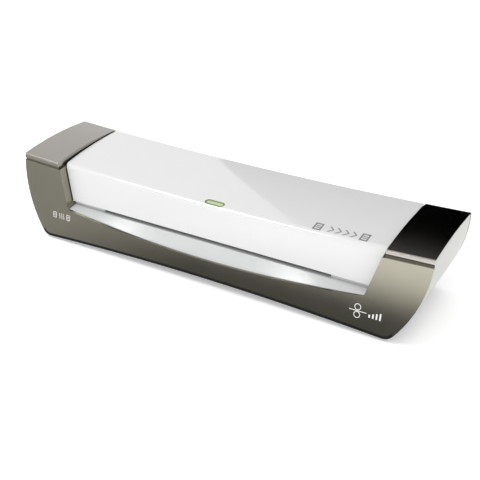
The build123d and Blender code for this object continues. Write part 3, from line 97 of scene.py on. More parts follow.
# ---------------------------------------------------------------- shared shader groups
class ShaderGroups:
    """Builds each shared node group once and hands it to the materials."""

    def __init__(self) -> None:
        """Start with no groups made."""
        self._made: dict[str, bpy.types.NodeTree] = {}

    def grain(self) -> bpy.types.NodeTree:
        """Fine moulded or cast grain: a height and a mask that change over the surface."""
        return self._once("surface_grain", self._build_grain)

    def wear(self) -> bpy.types.NodeTree:
        """Rubbed edges: a mask that is strong on convex edges and broken by noise."""
        return self._once("edge_wear", self._build_wear)

    def dust(self) -> bpy.types.NodeTree:
        """Thin dust film: a mask on surfaces that face up, broken into soft patches."""
        return self._once("dust_film", self._build_dust)

    def brushed(self) -> bpy.types.NodeTree:
        """Drawn or ground metal: long fine lines as a height and a mask."""
        return self._once("brushed_lines", self._build_brushed)

    def _once(self, name: str, build: Callable[[bpy.types.NodeTree], None]) -> bpy.types.NodeTree:
        """Return a group by name, building it the first time.

        Args:
            name: Name of the node group.
            build: Function that fills a new group.

        Returns:
            The finished node group.
        """
        if name not in self._made:
            tree = bpy.data.node_groups.new(name, "ShaderNodeTree")
            build(tree)
            self._made[name] = tree
        return self._made[name]

    @staticmethod
    def _sockets(tree: bpy.types.NodeTree, inputs: dict[str, float],
                 outputs: Sequence[str]) -> tuple[bpy.types.Node, bpy.types.Node]:
        """Add float sockets and the group's input and output nodes.

        Args:
            tree: Node group to add to.
            inputs: Input names with their default values.
            outputs: Output names.

        Returns:
            The group input node and the group output node.
        """
        for name, default in inputs.items():
            socket = tree.interface.new_socket(name, in_out="INPUT", socket_type="NodeSocketFloat")
            socket.default_value = default
        for name in outputs:
            tree.interface.new_socket(name, in_out="OUTPUT", socket_type="NodeSocketFloat")
        return tree.nodes.new("NodeGroupInput"), tree.nodes.new("NodeGroupOutput")

    def _build_grain(self, tree: bpy.types.NodeTree) -> None:
        """Fill the grain group.

        Args:
            tree: Empty node group.
        """
        start, end = self._sockets(tree, {"Scale": 1500.0, "Patch Scale": 40.0}, ("Height", "Patches"))
        place = tree.nodes.new("ShaderNodeTexCoord")
        fine = tree.nodes.new("ShaderNodeTexNoise")
        fine.inputs["Detail"].default_value = 3.0
        patch = tree.nodes.new("ShaderNodeTexNoise")
        patch.inputs["Detail"].default_value = 2.0
        links = tree.links
        links.new(place.outputs["Object"], fine.inputs["Vector"])
        links.new(place.outputs["Object"], patch.inputs["Vector"])
        links.new(start.outputs["Scale"], fine.inputs["Scale"])
        links.new(start.outputs["Patch Scale"], patch.inputs["Scale"])
        links.new(fine.outputs["Fac"], end.inputs["Height"])
        links.new(patch.outputs["Fac"], end.inputs["Patches"])

    def _build_wear(self, tree: bpy.types.NodeTree) -> None:
        """Fill the edge wear group.

        Args:
            tree: Empty node group.
        """
        start, end = self._sockets(tree, {"Start": 0.53, "Noise Scale": WEAR_NOISE_SCALE}, ("Mask",))
        geometry = tree.nodes.new("ShaderNodeNewGeometry")
        place = tree.nodes.new("ShaderNodeTexCoord")
        noise = tree.nodes.new("ShaderNodeTexNoise")
        edge = tree.nodes.new("ShaderNodeMath")
        edge.operation = "SUBTRACT"
        gain = tree.nodes.new("ShaderNodeMath")
        gain.operation = "MULTIPLY"
        gain.inputs[1].default_value = 12.0
        broken = tree.nodes.new("ShaderNodeMath")
        broken.operation = "MULTIPLY"
        broken.use_clamp = True
        links = tree.links
        links.new(place.outputs["Object"], noise.inputs["Vector"])
        links.new(start.outputs["Noise Scale"], noise.inputs["Scale"])
        links.new(geometry.outputs["Pointiness"], edge.inputs[0])
        links.new(start.outputs["Start"], edge.inputs[1])
        links.new(edge.outputs[0], gain.inputs[0])
        links.new(gain.outputs[0], broken.inputs[0])
        links.new(noise.outputs["Fac"], broken.inputs[1])
        links.new(broken.outputs[0], end.inputs["Mask"])

    def _build_dust(self, tree: bpy.types.NodeTree) -> None:
        """Fill the dust group.

        Args:
            tree: Empty node group.
        """
        start, end = self._sockets(tree, {"Amount": 0.1, "Noise Scale": 30.0}, ("Mask",))
        geometry = tree.nodes.new("ShaderNodeNewGeometry")
        place = tree.nodes.new("ShaderNodeTexCoord")
        noise = tree.nodes.new("ShaderNodeTexNoise")
        noise.inputs["Detail"].default_value = 6.0
        split = tree.nodes.new("ShaderNodeSeparateXYZ")
        facing = tree.nodes.new("ShaderNodeMath")
        facing.operation = "MULTIPLY"
        facing.use_clamp = True
        amount = tree.nodes.new("ShaderNodeMath")
        amount.operation = "MULTIPLY"
        links = tree.links
        links.new(place.outputs["Object"], noise.inputs["Vector"])
        links.new(start.outputs["Noise Scale"], noise.inputs["Scale"])
        links.new(geometry.outputs["Normal"], split.inputs[0])
        links.new(split.outputs["Z"], facing.inputs[0])
        links.new(noise.outputs["Fac"], facing.inputs[1])
        links.new(facing.outputs[0], amount.inputs[0])
        links.new(start.outputs["Amount"], amount.inputs[1])
        links.new(amount.outputs[0], end.inputs["Mask"])

    def _build_brushed(self, tree: bpy.types.NodeTree) -> None:
        """Fill the brushed metal group.

        Args:
            tree: Empty node group.
        """
        start, end = self._sockets(tree, {"Scale": 900.0, "Stretch": 0.02}, ("Height", "Streaks"))
        place = tree.nodes.new("ShaderNodeTexCoord")
        squeeze = tree.nodes.new("ShaderNodeVectorMath")
        squeeze.operation = "MULTIPLY"
        combine = tree.nodes.new("ShaderNodeCombineXYZ")
        combine.inputs["Y"].default_value = 1.0
        combine.inputs["Z"].default_value = 1.0
        noise = tree.nodes.new("ShaderNodeTexNoise")
        noise.inputs["Detail"].default_value = 4.0
        links = tree.links
        links.new(start.outputs["Stretch"], combine.inputs["X"])
        links.new(place.outputs["Object"], squeeze.inputs[0])
        links.new(combine.outputs[0], squeeze.inputs[1])
        links.new(squeeze.outputs[0], noise.inputs["Vector"])
        links.new(start.outputs["Scale"], noise.inputs["Scale"])
        links.new(noise.outputs["Fac"], end.inputs["Height"])
        links.new(noise.outputs["Fac"], end.inputs["Streaks"])


GROUPS = ShaderGroups()


# ---------------------------------------------------------------- finishes
@dataclass(frozen=True)
class Surface:
    """One finish: plain shader values and how the shared effects break them up."""

    colour: Colour
    second: Colour
    roughness: float = 0.4
    rough_spread: float = 0.08
    metallic: float = 0.0
    ior: float = 1.5
    coat: float = 0.0
    coat_roughness: float = 0.05
    grain_scale: float = 1500.0
    grain_height: float = 0.02
    patch_scale: float = 40.0
    wear: float = 0.0
    wear_colour: Colour = (0.6, 0.6, 0.6)
    dust: float = 0.0
    brushed: bool = False
    glow: float = 0.0
    subsurface: float = 0.0

    def build(self, name: str) -> bpy.types.Material:
        """Make the node material of this finish.

        Args:
            name: Name of the material.

        Returns:
            The finished material.
        """
        material = bpy.data.materials.new(name)
        material.use_nodes = True
        tree = material.node_tree
        shader = tree.nodes["Principled BSDF"]
        shader.inputs["Metallic"].default_value = self.metallic
        shader.inputs["IOR"].default_value = self.ior
        shader.inputs["Coat Weight"].default_value = self.coat
        shader.inputs["Coat Roughness"].default_value = self.coat_roughness
        shader.inputs["Subsurface Weight"].default_value = self.subsurface
        shader.inputs["Subsurface Scale"].default_value = SKIN_DEPTH
        height, patches = self._relief(tree)
        colour = self._mixed(tree, patches, self.colour, self.second)
        if self.dust > 0:
            film = self._group(tree, GROUPS.dust(), {"Amount": self.dust})
            colour = self._mixed(tree, film.outputs["Mask"], colour, DUST_COLOUR)
        if self.wear > 0:
            rub = self._group(tree, GROUPS.wear(), {"Noise Scale": WEAR_NOISE_SCALE})
            scaled = self._maths(tree, "MULTIPLY", rub.outputs["Mask"], self.wear)
            colour = self._mixed(tree, scaled, colour, self.wear_colour)
        tree.links.new(colour, shader.inputs["Base Color"])
        self._roughness(tree, shader, patches)
        bump = tree.nodes.new("ShaderNodeBump")
        bump.inputs["Strength"].default_value = self.grain_height
        bump.inputs["Distance"].default_value = BUMP_DISTANCE
        tree.links.new(height, bump.inputs["Height"])
        tree.links.new(bump.outputs["Normal"], shader.inputs["Normal"])
        if self.glow > 0:
            tree.links.new(colour, shader.inputs["Emission Color"])
            shader.inputs["Emission Strength"].default_value = self.glow
        return material

    def _relief(self, tree: bpy.types.NodeTree) -> tuple[bpy.types.NodeSocket, bpy.types.NodeSocket]:
        """Place the grain or brushed group.

        Args:
            tree: Node tree of the material.

        Returns:
            The height socket and the patch socket.
        """
        if self.brushed:
            lines = self._group(tree, GROUPS.brushed(), {"Scale": self.grain_scale})
            return lines.outputs["Height"], lines.outputs["Streaks"]
        scales = {"Scale": self.grain_scale, "Patch Scale": self.patch_scale}
        grain = self._group(tree, GROUPS.grain(), scales)
        return grain.outputs["Height"], grain.outputs["Patches"]

    def _roughness(self, tree: bpy.types.NodeTree, shader: bpy.types.Node,
                   patches: bpy.types.NodeSocket) -> None:
        """Let the roughness wander a little over the surface.

        Args:
            tree: Node tree of the material.
            shader: Its Principled node.
            patches: Mask that drives the change.
        """
        spread = tree.nodes.new("ShaderNodeMapRange")
        spread.inputs["To Min"].default_value = self.roughness - self.rough_spread / 2
        spread.inputs["To Max"].default_value = self.roughness + self.rough_spread / 2
        tree.links.new(patches, spread.inputs["Value"])
        tree.links.new(spread.outputs["Result"], shader.inputs["Roughness"])

    @staticmethod
    def _group(tree: bpy.types.NodeTree, group: bpy.types.NodeTree,
               values: dict[str, float]) -> bpy.types.Node:
        """Place a shared group with its own values.

        Args:
            tree: Node tree of the material.
            group: Shared node group.
            values: Values of the group's inputs.

        Returns:
            The group node.
        """
        node = tree.nodes.new("ShaderNodeGroup")
        node.node_tree = group
        for name, value in values.items():
            node.inputs[name].default_value = value
        return node

    @staticmethod
    def _maths(tree: bpy.types.NodeTree, operation: str, socket: bpy.types.NodeSocket,
               value: float) -> bpy.types.NodeSocket:
        """Combine a socket with a number.

        Args:
            tree: Node tree of the material.
            operation: Name of the maths operation.
            socket: First input.
            value: Second input.

        Returns:
            The result socket.
        """
        node = tree.nodes.new("ShaderNodeMath")
        node.operation = operation
        node.use_clamp = True
        node.inputs[1].default_value = value
        tree.links.new(socket, node.inputs[0])
        return node.outputs[0]

    @staticmethod
    def _mixed(tree: bpy.types.NodeTree, mask: bpy.types.NodeSocket, first: object,
               second: object) -> bpy.types.NodeSocket:
        """Mix two colours, each a socket or a plain colour, by a mask.

        Args:
            tree: Node tree of the material.
            mask: Mixing factor.
            first: Colour or socket where the mask is low.
            second: Colour or socket where the mask is high.

        Returns:
            The mixed colour socket.
        """
        node = tree.nodes.new("ShaderNodeMix")
        node.data_type = "RGBA"
        tree.links.new(mask, node.inputs["Factor"])
        for socket, value in ((node.inputs[6], first), (node.inputs[7], second)):
            if isinstance(value, bpy.types.NodeSocket):
                tree.links.new(value, socket)
            else:
                socket.default_value = (*value, 1.0)
        return node.outputs[2]


SURFACES: dict[Finish, Surface] = {
    Finish.CAP_LACQUER: Surface((0.375, 0.355, 0.325), (0.41, 0.388, 0.355), 0.15, 0.04, 1.0, coat=0.25,
                                coat_roughness=0.03, grain_scale=5200, grain_height=0.04),
    Finish.FRAME_LACQUER: Surface((0.31, 0.297, 0.238), (0.34, 0.325, 0.262), 0.17, 0.03, 1.0, coat=0.06,
                                  coat_roughness=0.05, grain_scale=5200, grain_height=0.05),
    Finish.GLOSS_WHITE: Surface((0.69, 0.694, 0.694), (0.71, 0.712, 0.71), 0.07, 0.03, ior=1.5, coat=0.35,
                                coat_roughness=0.03, grain_scale=700, grain_height=0.006, dust=0.05),
    Finish.TRAY_WHITE: Surface((0.55, 0.556, 0.56), (0.58, 0.586, 0.59), 0.22, 0.06, grain_scale=900,
                               grain_height=0.02, dust=0.05),
    Finish.PANEL_WHITE: Surface((0.50, 0.505, 0.475), (0.53, 0.533, 0.51), 0.32, 0.08, grain_scale=1800,
                                grain_height=0.06, dust=0.03),
    Finish.BASE_BLACK: Surface((0.008, 0.008, 0.008), (0.014, 0.014, 0.014), 0.62, 0.1, ior=1.2,
                               grain_scale=2600, grain_height=0.3, wear=0.15, wear_colour=(0.06, 0.06, 0.06)),
    Finish.REAR_BLACK: Surface((0.014, 0.014, 0.015), (0.022, 0.022, 0.023), 0.5, 0.1, ior=1.35,
                               grain_scale=2600, grain_height=0.35, wear=0.2,
                               wear_colour=(0.09, 0.09, 0.09), dust=0.05),
    Finish.FOOT_RUBBER: Surface((0.015, 0.015, 0.015), (0.03, 0.03, 0.03), 0.8, 0.1, grain_scale=3000,
                                grain_height=0.4, dust=0.15),
    Finish.BLACK_NYLON: Surface((0.02, 0.02, 0.02), (0.035, 0.035, 0.035), 0.45, 0.1, grain_scale=2500,
                                grain_height=0.15),
    Finish.LEVER_GREY: Surface((0.16, 0.16, 0.165), (0.2, 0.2, 0.2), 0.4, 0.1, grain_scale=2500,
                               grain_height=0.2, wear=0.4),
    Finish.GUIDE_BLACK: Surface((0.03, 0.03, 0.03), (0.05, 0.05, 0.05), 0.35, 0.1, grain_scale=2000,
                                grain_height=0.1, wear=0.3, wear_colour=(0.15, 0.15, 0.15)),
    Finish.ACETAL: Surface((0.75, 0.72, 0.62), (0.82, 0.79, 0.70), 0.35, 0.08, grain_scale=1500,
                           grain_height=0.06, subsurface=0.15),
    Finish.BUSH_POLYMER: Surface((0.55, 0.45, 0.28), (0.62, 0.52, 0.34), 0.4, 0.1, grain_scale=1500,
                                 grain_height=0.08),
    Finish.SILICONE: Surface((0.38, 0.07, 0.035), (0.46, 0.10, 0.05), 0.6, 0.12, grain_scale=2200,
                             grain_height=0.15, dust=0.1),
    Finish.CERAMIC: Surface((0.78, 0.77, 0.72), (0.85, 0.84, 0.8), 0.6, 0.1, grain_scale=1800,
                            grain_height=0.2),
    Finish.SHEET_STEEL: Surface((0.50, 0.50, 0.48), (0.62, 0.62, 0.60), 0.38, 0.15, 1.0, grain_scale=160,
                                grain_height=0.05, patch_scale=160, wear=0.3),
    Finish.BRIGHT_STEEL: Surface((0.58, 0.58, 0.58), (0.68, 0.68, 0.68), 0.2, 0.1, 1.0, grain_scale=1400,
                                 grain_height=0.06, brushed=True),
    Finish.SPRING_STEEL: Surface((0.42, 0.42, 0.44), (0.55, 0.55, 0.56), 0.28, 0.1, 1.0, grain_scale=1800,
                                 grain_height=0.06),
    Finish.ZINC_SCREW: Surface((0.55, 0.56, 0.58), (0.68, 0.68, 0.66), 0.32, 0.12, 1.0, grain_scale=1400,
                               grain_height=0.1, wear=0.4),
    Finish.ALUMINIUM: Surface((0.70, 0.70, 0.71), (0.78, 0.78, 0.79), 0.32, 0.1, 1.0, grain_scale=1100,
                              grain_height=0.1, brushed=True),
    Finish.BRASS: Surface((0.62, 0.45, 0.18), (0.72, 0.55, 0.25), 0.28, 0.1, 1.0, grain_scale=1400,
                          grain_height=0.06),
    Finish.MOTOR_CAN: Surface((0.50, 0.50, 0.49), (0.60, 0.60, 0.58), 0.35, 0.1, 1.0, grain_scale=1000,
                              grain_height=0.08, brushed=True),
    Finish.TRANSFORMER: Surface((0.16, 0.10, 0.05), (0.24, 0.16, 0.08), 0.35, 0.15, 0.4, grain_scale=1200,
                                grain_height=0.2, brushed=True),
    Finish.CIRCUIT_BOARD: Surface((0.01, 0.10, 0.03), (0.02, 0.16, 0.05), 0.3, 0.15, grain_scale=700,
                                  grain_height=0.15, patch_scale=300),
    Finish.LEAD_RED: Surface((0.35, 0.02, 0.02), (0.42, 0.03, 0.025), 0.45, 0.1, grain_scale=1500,
                             grain_height=0.05),
    Finish.GREEN_RIM: Surface((0.12, 0.21, 0.03), (0.15, 0.25, 0.045), 0.3, 0.06, coat=0.4, grain_scale=900,
                              grain_height=0.02, subsurface=0.2),
    Finish.LIGHT_PIPE: Surface((0.44, 0.52, 0.26), (0.50, 0.58, 0.32), 0.25, 0.05, coat=0.4,
                               grain_scale=900, grain_height=0.02, glow=0.02, subsurface=0.3),
    Finish.WHITE_PRINT: Surface((0.80, 0.80, 0.76), (0.84, 0.84, 0.81), 0.45, 0.08, grain_scale=2600,
                                grain_height=0.1),
    Finish.GREY_PRINT: Surface((0.20, 0.205, 0.21), (0.24, 0.245, 0.25), 0.4, 0.08, grain_scale=2600,
                               grain_height=0.1),
    Finish.PALE_PRINT: Surface((0.45, 0.46, 0.48), (0.52, 0.53, 0.54), 0.4, 0.08, grain_scale=2600,
                               grain_height=0.1),
}


class Paintshop:
    """Makes each finish once and puts it on pieces."""

    def __init__(self) -> None:
        """Start with no materials made."""
        self._made: dict[Finish, bpy.types.Material] = {}

    def material(self, finish: Finish) -> bpy.types.Material:
        """Return the material of a finish, making it the first time.

        Args:
            finish: Which finish.

        Returns:
            The material.
        """
        if finish not in self._made:
            self._made[finish] = SURFACES[finish].build(finish.value)
        return self._made[finish]

    def dress(self, piece: bpy.types.Object, finish: Finish) -> None:
        """Put one finish on a whole piece.

        Args:
            piece: Mesh or curve object.
            finish: Which finish.
        """
        piece.data.materials.clear()
        piece.data.materials.append(self.material(finish))


PAINT = Paintshop()


# ---------------------------------------------------------------- shared mesh work
def smooth_by_angle(piece: bpy.types.Object, angle: float = 32.0) -> None:
    """Shade a mesh smooth except across sharp edges.

    Args:
        piece: Mesh object.
        angle: Edges sharper than this, in degrees, stay sharp.
    """
    mesh = piece.data
    mesh.shade_smooth()
    work = bmesh.new()
    work.from_mesh(mesh)
    limit = math.radians(angle)
    sharp = [not e.is_manifold or e.calc_face_angle(0.0) > limit for e in work.edges]
    work.free()
    flags = mesh.attributes.get("sharp_edge") or mesh.attributes.new("sharp_edge", "BOOLEAN", "EDGE")
    flags.data.foreach_set("value", sharp)


def mesh_object(name: str, corners: Sequence[Vector], faces: Sequence[Sequence[int]]) -> bpy.types.Object:
    """Make a mesh object and put it in the scene.

    Args:
        name: Name of the piece.
        corners: Vertex places.
        faces: Vertex numbers of each face.

    Returns:
        The new object.
    """
    mesh = bpy.data.meshes.new(name)
    mesh.from_pydata([tuple(corner) for corner in corners], [], [tuple(face) for face in faces])
    mesh.update()
    piece = bpy.data.objects.new(name, mesh)
    bpy.context.scene.collection.objects.link(piece)
    return piece


def node_tree_of(name: str) -> BVHTree:
    """Search tree of a frame node's mesh.

    Args:
        name: Frame node.

    Returns:
        Tree for finding its surface.
    """
    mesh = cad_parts[name].data
    corners = [v.co.copy() for v in mesh.vertices]
    return BVHTree.FromPolygons(corners, [tuple(p.vertices) for p in mesh.polygons])


# ---------------------------------------------------------------- sub-assemblies
@dataclass
class SubAssembly:
    """Frame nodes of one sub-assembly and the finish of each."""

    finishes: dict[Finish, tuple[str, ...]] = field(default_factory=dict)

    def dress(self) -> None:
        """Shade and paint each node of the sub-assembly."""
        for finish, names in self.finishes.items():
            for name in names:
                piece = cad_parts[name]
                smooth_by_angle(piece)
                PAINT.dress(piece, finish)
                LOG.info("%s: %s in %s", type(self).__name__, name, finish.value)

    def build(self) -> None:
        """Add the pieces that the frame doesn't hold; the base has none."""


@dataclass
class Casing(SubAssembly):
    """Outer shells: base, front frame, caps, panels and top cover."""

    finishes: dict[Finish, tuple[str, ...]] = field(default_factory=lambda: {
        Finish.CAP_LACQUER: ("left_end_cap", "right_end_cap"),
        Finish.FRAME_LACQUER: ("front_frame",),
        Finish.GLOSS_WHITE: ("top_cover",),
        Finish.TRAY_WHITE: ("entry_tray",),
        Finish.PANEL_WHITE: ("left_side_panel", "right_side_panel"),
        Finish.BASE_BLACK: ("base_tray",),
        Finish.REAR_BLACK: ("rear_panel",),
        Finish.FOOT_RUBBER: ("rubber_feet",),
    })


@dataclass
class RollerDrive(SubAssembly):
    """Rollers, gears, bushes, motor and the plates that carry them."""

    finishes: dict[Finish, tuple[str, ...]] = field(default_factory=lambda: {
        Finish.SILICONE: ("lower_hot_sleeve", "lower_pull_sleeve", "upper_hot_sleeve", "upper_pull_sleeve"),
        Finish.BRIGHT_STEEL: ("lower_hot_shaft", "lower_pull_shaft", "upper_hot_shaft", "upper_pull_shaft",
                              "tie_bars", "idler_pin", "motor_shaft"),
        Finish.ACETAL: ("lower_hot_gear", "lower_pull_gear", "upper_hot_gear", "upper_pull_gear",
                        "idler_gear"),
        Finish.BUSH_POLYMER: ("lower_bushes", "upper_bushes"),
        Finish.SHEET_STEEL: ("left_side_plate", "right_side_plate", "drive_bracket"),
        Finish.MOTOR_CAN: ("motor",),
        Finish.BRASS: ("motor_pinion",),
        Finish.LEAD_RED: ("motor_leads",),
    })


@dataclass
class ReleaseGear(SubAssembly):
    """Lever, cams and the lifting frame that opens the rollers."""

    finishes: dict[Finish, tuple[str, ...]] = field(default_factory=lambda: {
        Finish.LEVER_GREY: ("release_lever",),
        Finish.ACETAL: ("release_cams",),
        Finish.BRIGHT_STEEL: ("release_shaft", "lift_bar", "guide_pins"),
        Finish.SHEET_STEEL: ("left_lift_plate", "right_lift_plate"),
        Finish.SPRING_STEEL: ("pressure_springs",),
    })


@dataclass
class HeatSection(SubAssembly):
    """Heater plates, strips, cut-outs and pouch guides."""

    finishes: dict[Finish, tuple[str, ...]] = field(default_factory=lambda: {
        Finish.ALUMINIUM: ("upper_heater_plate", "lower_heater_plate"),
        Finish.CERAMIC: ("upper_heater_strip", "lower_heater_strip"),
        Finish.ZINC_SCREW: ("heat_cutouts",),
        Finish.GUIDE_BLACK: ("pouch_guides", "exit_guide"),
    })


@dataclass
class Electrics(SubAssembly):
    """Boards, transformer, inlet, switch and screws."""

    finishes: dict[Finish, tuple[str, ...]] = field(default_factory=lambda: {
        Finish.CIRCUIT_BOARD: ("control_board", "button_board"),
        Finish.TRANSFORMER: ("transformer",),
        Finish.BLACK_NYLON: ("mains_inlet", "board_parts", "tact_switch", "switch_plunger"),
        Finish.BRASS: ("inlet_pins",),
        Finish.ZINC_SCREW: ("casing_screws", "chassis_screws"),
    })


@dataclass
class PowerButton(SubAssembly):
    """Green button with the pale window of its light."""

    finishes: dict[Finish, tuple[str, ...]] = field(default_factory=lambda: {
        Finish.GREEN_RIM: ("power_button",),
    })
    margin: float = 1.3 * MM
    lift: float = 0.05 * MM
    steps: int = 14
    rows: int = 6
    rim_depth: float = 3.4 * MM
    search_height: float = 0.01

    def build(self) -> None:
        """Lay the window on the button's sunk face, a little inside its edge."""
        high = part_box("power_button")[1]
        tree = node_tree_of("power_button")
        top = [v.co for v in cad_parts["power_button"].data.vertices if v.co.z > high.z - self.rim_depth]
        half_x = max(abs(co.x) for co in top) - self.margin
        near_y, far_y = min(co.y for co in top), max(co.y for co in top)
        half_y = (far_y - near_y) / 2 - self.margin
        middle_y = (near_y + far_y) / 2
        corners, faces = [], []
        for row in range(self.rows + 1):
            across = 2 * row / self.rows - 1
            end = half_x - half_y + half_y * math.sqrt(max(0.0, 1 - across * across))
            for step in range(self.steps + 1):
                x = end * (2 * step / self.steps - 1)
                y = middle_y + across * half_y
                start = Vector((x, y, high.z + self.search_height))
                hit = tree.ray_cast(start, Vector((0, 0, -1)))[0]
                corners.append(Vector((x, y, hit.z + self.lift)))
        width = self.steps + 1
        for row in range(self.rows):
            for step in range(self.steps):
                first = row * width + step
                faces.append((first, first + 1, first + 1 + width, first + width))
        window = mesh_object("button_window", corners, faces)
        PAINT.dress(window, Finish.LIGHT_PIPE)
        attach(window, "button")
        LOG.info("PowerButton: button_window added")


# ---------------------------------------------------------------- printed marks
Outline = list[tuple[float, float]]


def bar(x: float, y: float, length: float, width: float) -> Outline:
    """Straight stroke from a start point along the first axis."""
    return [(x, y - width / 2), (x + length, y - width / 2), (x + length, y + width / 2), (x, y + width / 2)]


def upright(x: float, y: float, height: float, width: float) -> Outline:
    """Straight stroke from a start point along the second axis."""
    return [(x - width / 2, y), (x + width / 2, y), (x + width / 2, y + height), (x - width / 2, y + height)]


def wave(x: float, y: float, height: float, width: float, swing: float) -> list[Outline]:
    """Wavy upright stroke, as short quads.

    Args:
        x: Middle of the stroke.
        y: Its foot.
        height: Its height.
        width: Stroke width.
        swing: How far it swings to each side.

    Returns:
        Quads that make up the stroke.
    """
    parts, quads = WAVE_PARTS, []
    for step in range(parts):
        low, high = step / parts, (step + 1) / parts
        near = x + swing * math.sin(2 * math.pi * low)
        far = x + swing * math.sin(2 * math.pi * high)
        quads.append([(near - width / 2, y + low * height), (near + width / 2, y + low * height),
                      (far + width / 2, y + high * height), (far - width / 2, y + high * height)])
    return quads


def ring(x: float, y: float, radius: float, width: float) -> list[Outline]:
    """Round stroke, as short quads.

    Args:
        x: Middle, first axis.
        y: Middle, second axis.
        radius: Outer radius.
        width: Stroke width.

    Returns:
        Quads that make up the ring.
    """
    parts, quads = RING_PARTS, []
    for step in range(parts):
        a, b = 2 * math.pi * step / parts, 2 * math.pi * (step + 1) / parts
        inner = radius - width
        quads.append([(x + inner * math.cos(a), y + inner * math.sin(a)),
                      (x + radius * math.cos(a), y + radius * math.sin(a)),
                      (x + radius * math.cos(b), y + radius * math.sin(b)),
                      (x + inner * math.cos(b), y + inner * math.sin(b))])
    return quads


def chevron(x: float, y: float, height: float, width: float) -> list[Outline]:
    """Arrow head that points along the first axis.

    Args:
        x: Its back.
        y: Its foot.
        height: Its height.
        width: Stroke width.

    Returns:
        Two slanting strokes.
    """
    half = height / 2
    return [[(x, y), (x + width, y), (x + width + half, y + half), (x + half, y + half)],
            [(x + half, y + half), (x + width + half, y + half), (x + width, y + height), (x, y + height)]]


def sheet_mark(x: float, y: float, size: float, width: float) -> list[Outline]:
    """Outline of a sheet with two lines on it.

    Args:
        x: Left side.
        y: Foot.
        size: Height; the width is three quarters of it.
        width: Stroke width.

    Returns:
        Strokes of the mark.
    """
    across = 0.75 * size
    return [bar(x, y + width / 2, across, width), bar(x, y + size - width / 2, across, width),
            upright(x + width / 2, y, size, width), upright(x + across - width / 2, y, size, width),
            bar(x + across * 0.25, y + size * 0.38, across * 0.5, width * 0.8),
            bar(x + across * 0.25, y + size * 0.62, across * 0.5, width * 0.8)]


@dataclass
class Print:
    """One set of printed strokes laid on a frame node's surface."""

    name: str
    node: str
    finish: Finish
    slot: str
    strokes: list[Outline]
    place: Callable[[float, float], tuple[Vector, Vector]]
    lift: float = 0.03 * MM
    cell: float = 1.6 * MM

    def build(self) -> None:
        """Project the strokes on the surface and add them as one piece."""
        tree = node_tree_of(self.node)
        corners: list[Vector] = []
        faces: list[tuple[int, ...]] = []
        for quad in (piece for stroke in self.strokes for piece in self._split(stroke)):
            spots = []
            for u, v in quad:
                start, towards = self.place(u * MM, v * MM)
                hit = tree.ray_cast(start, towards)[0]
                if hit is None:
                    break
                spots.append(hit - towards * self.lift)
            if len(spots) == len(quad):
                faces.append(tuple(range(len(corners), len(corners) + len(spots))))
                corners.extend(spots)
        piece = mesh_object(self.name, corners, faces)
        PAINT.dress(piece, self.finish)
        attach(piece, "casing")
        LOG.info("Print: %s laid on %s", self.name, self.node)

    def _split(self, quad: Outline) -> list[Outline]:
        """Cut a long quad into cells so that it follows a curved surface.

        Args:
            quad: Four corners in millimetres.

        Returns:
            Smaller quads.
        """
        a, b, c, d = quad
        count = max(1, math.ceil(max(math.dist(a, b), math.dist(d, c)) * MM / self.cell))
        rows = max(1, math.ceil(max(math.dist(a, d), math.dist(b, c)) * MM / self.cell))

        def point(s: float, t: float) -> tuple[float, float]:
            """Place at two shares of the quad."""
            return tuple((1 - s) * (1 - t) * a[k] + s * (1 - t) * b[k] + s * t * c[k] + (1 - s) * t * d[k]
                         for k in (0, 1))

        return [[point(i / count, j / rows), point((i + 1) / count, j / rows),
                 point((i + 1) / count, (j + 1) / rows), point(i / count, (j + 1) / rows)]
                for i in range(count) for j in range(rows)]


def on_front(u: float, v: float) -> tuple[Vector, Vector]:
    """Start and direction of a search for the front at a place across and up."""
    return Vector((u, FRONT_START_Y, v)), Vector((0, 1, 0))


def on_top(u: float, v: float) -> tuple[Vector, Vector]:
    """Start and direction of a search for the top at a place across and deep."""
    return Vector((u, v, TOP_START_Z)), Vector((0, 0, -1))


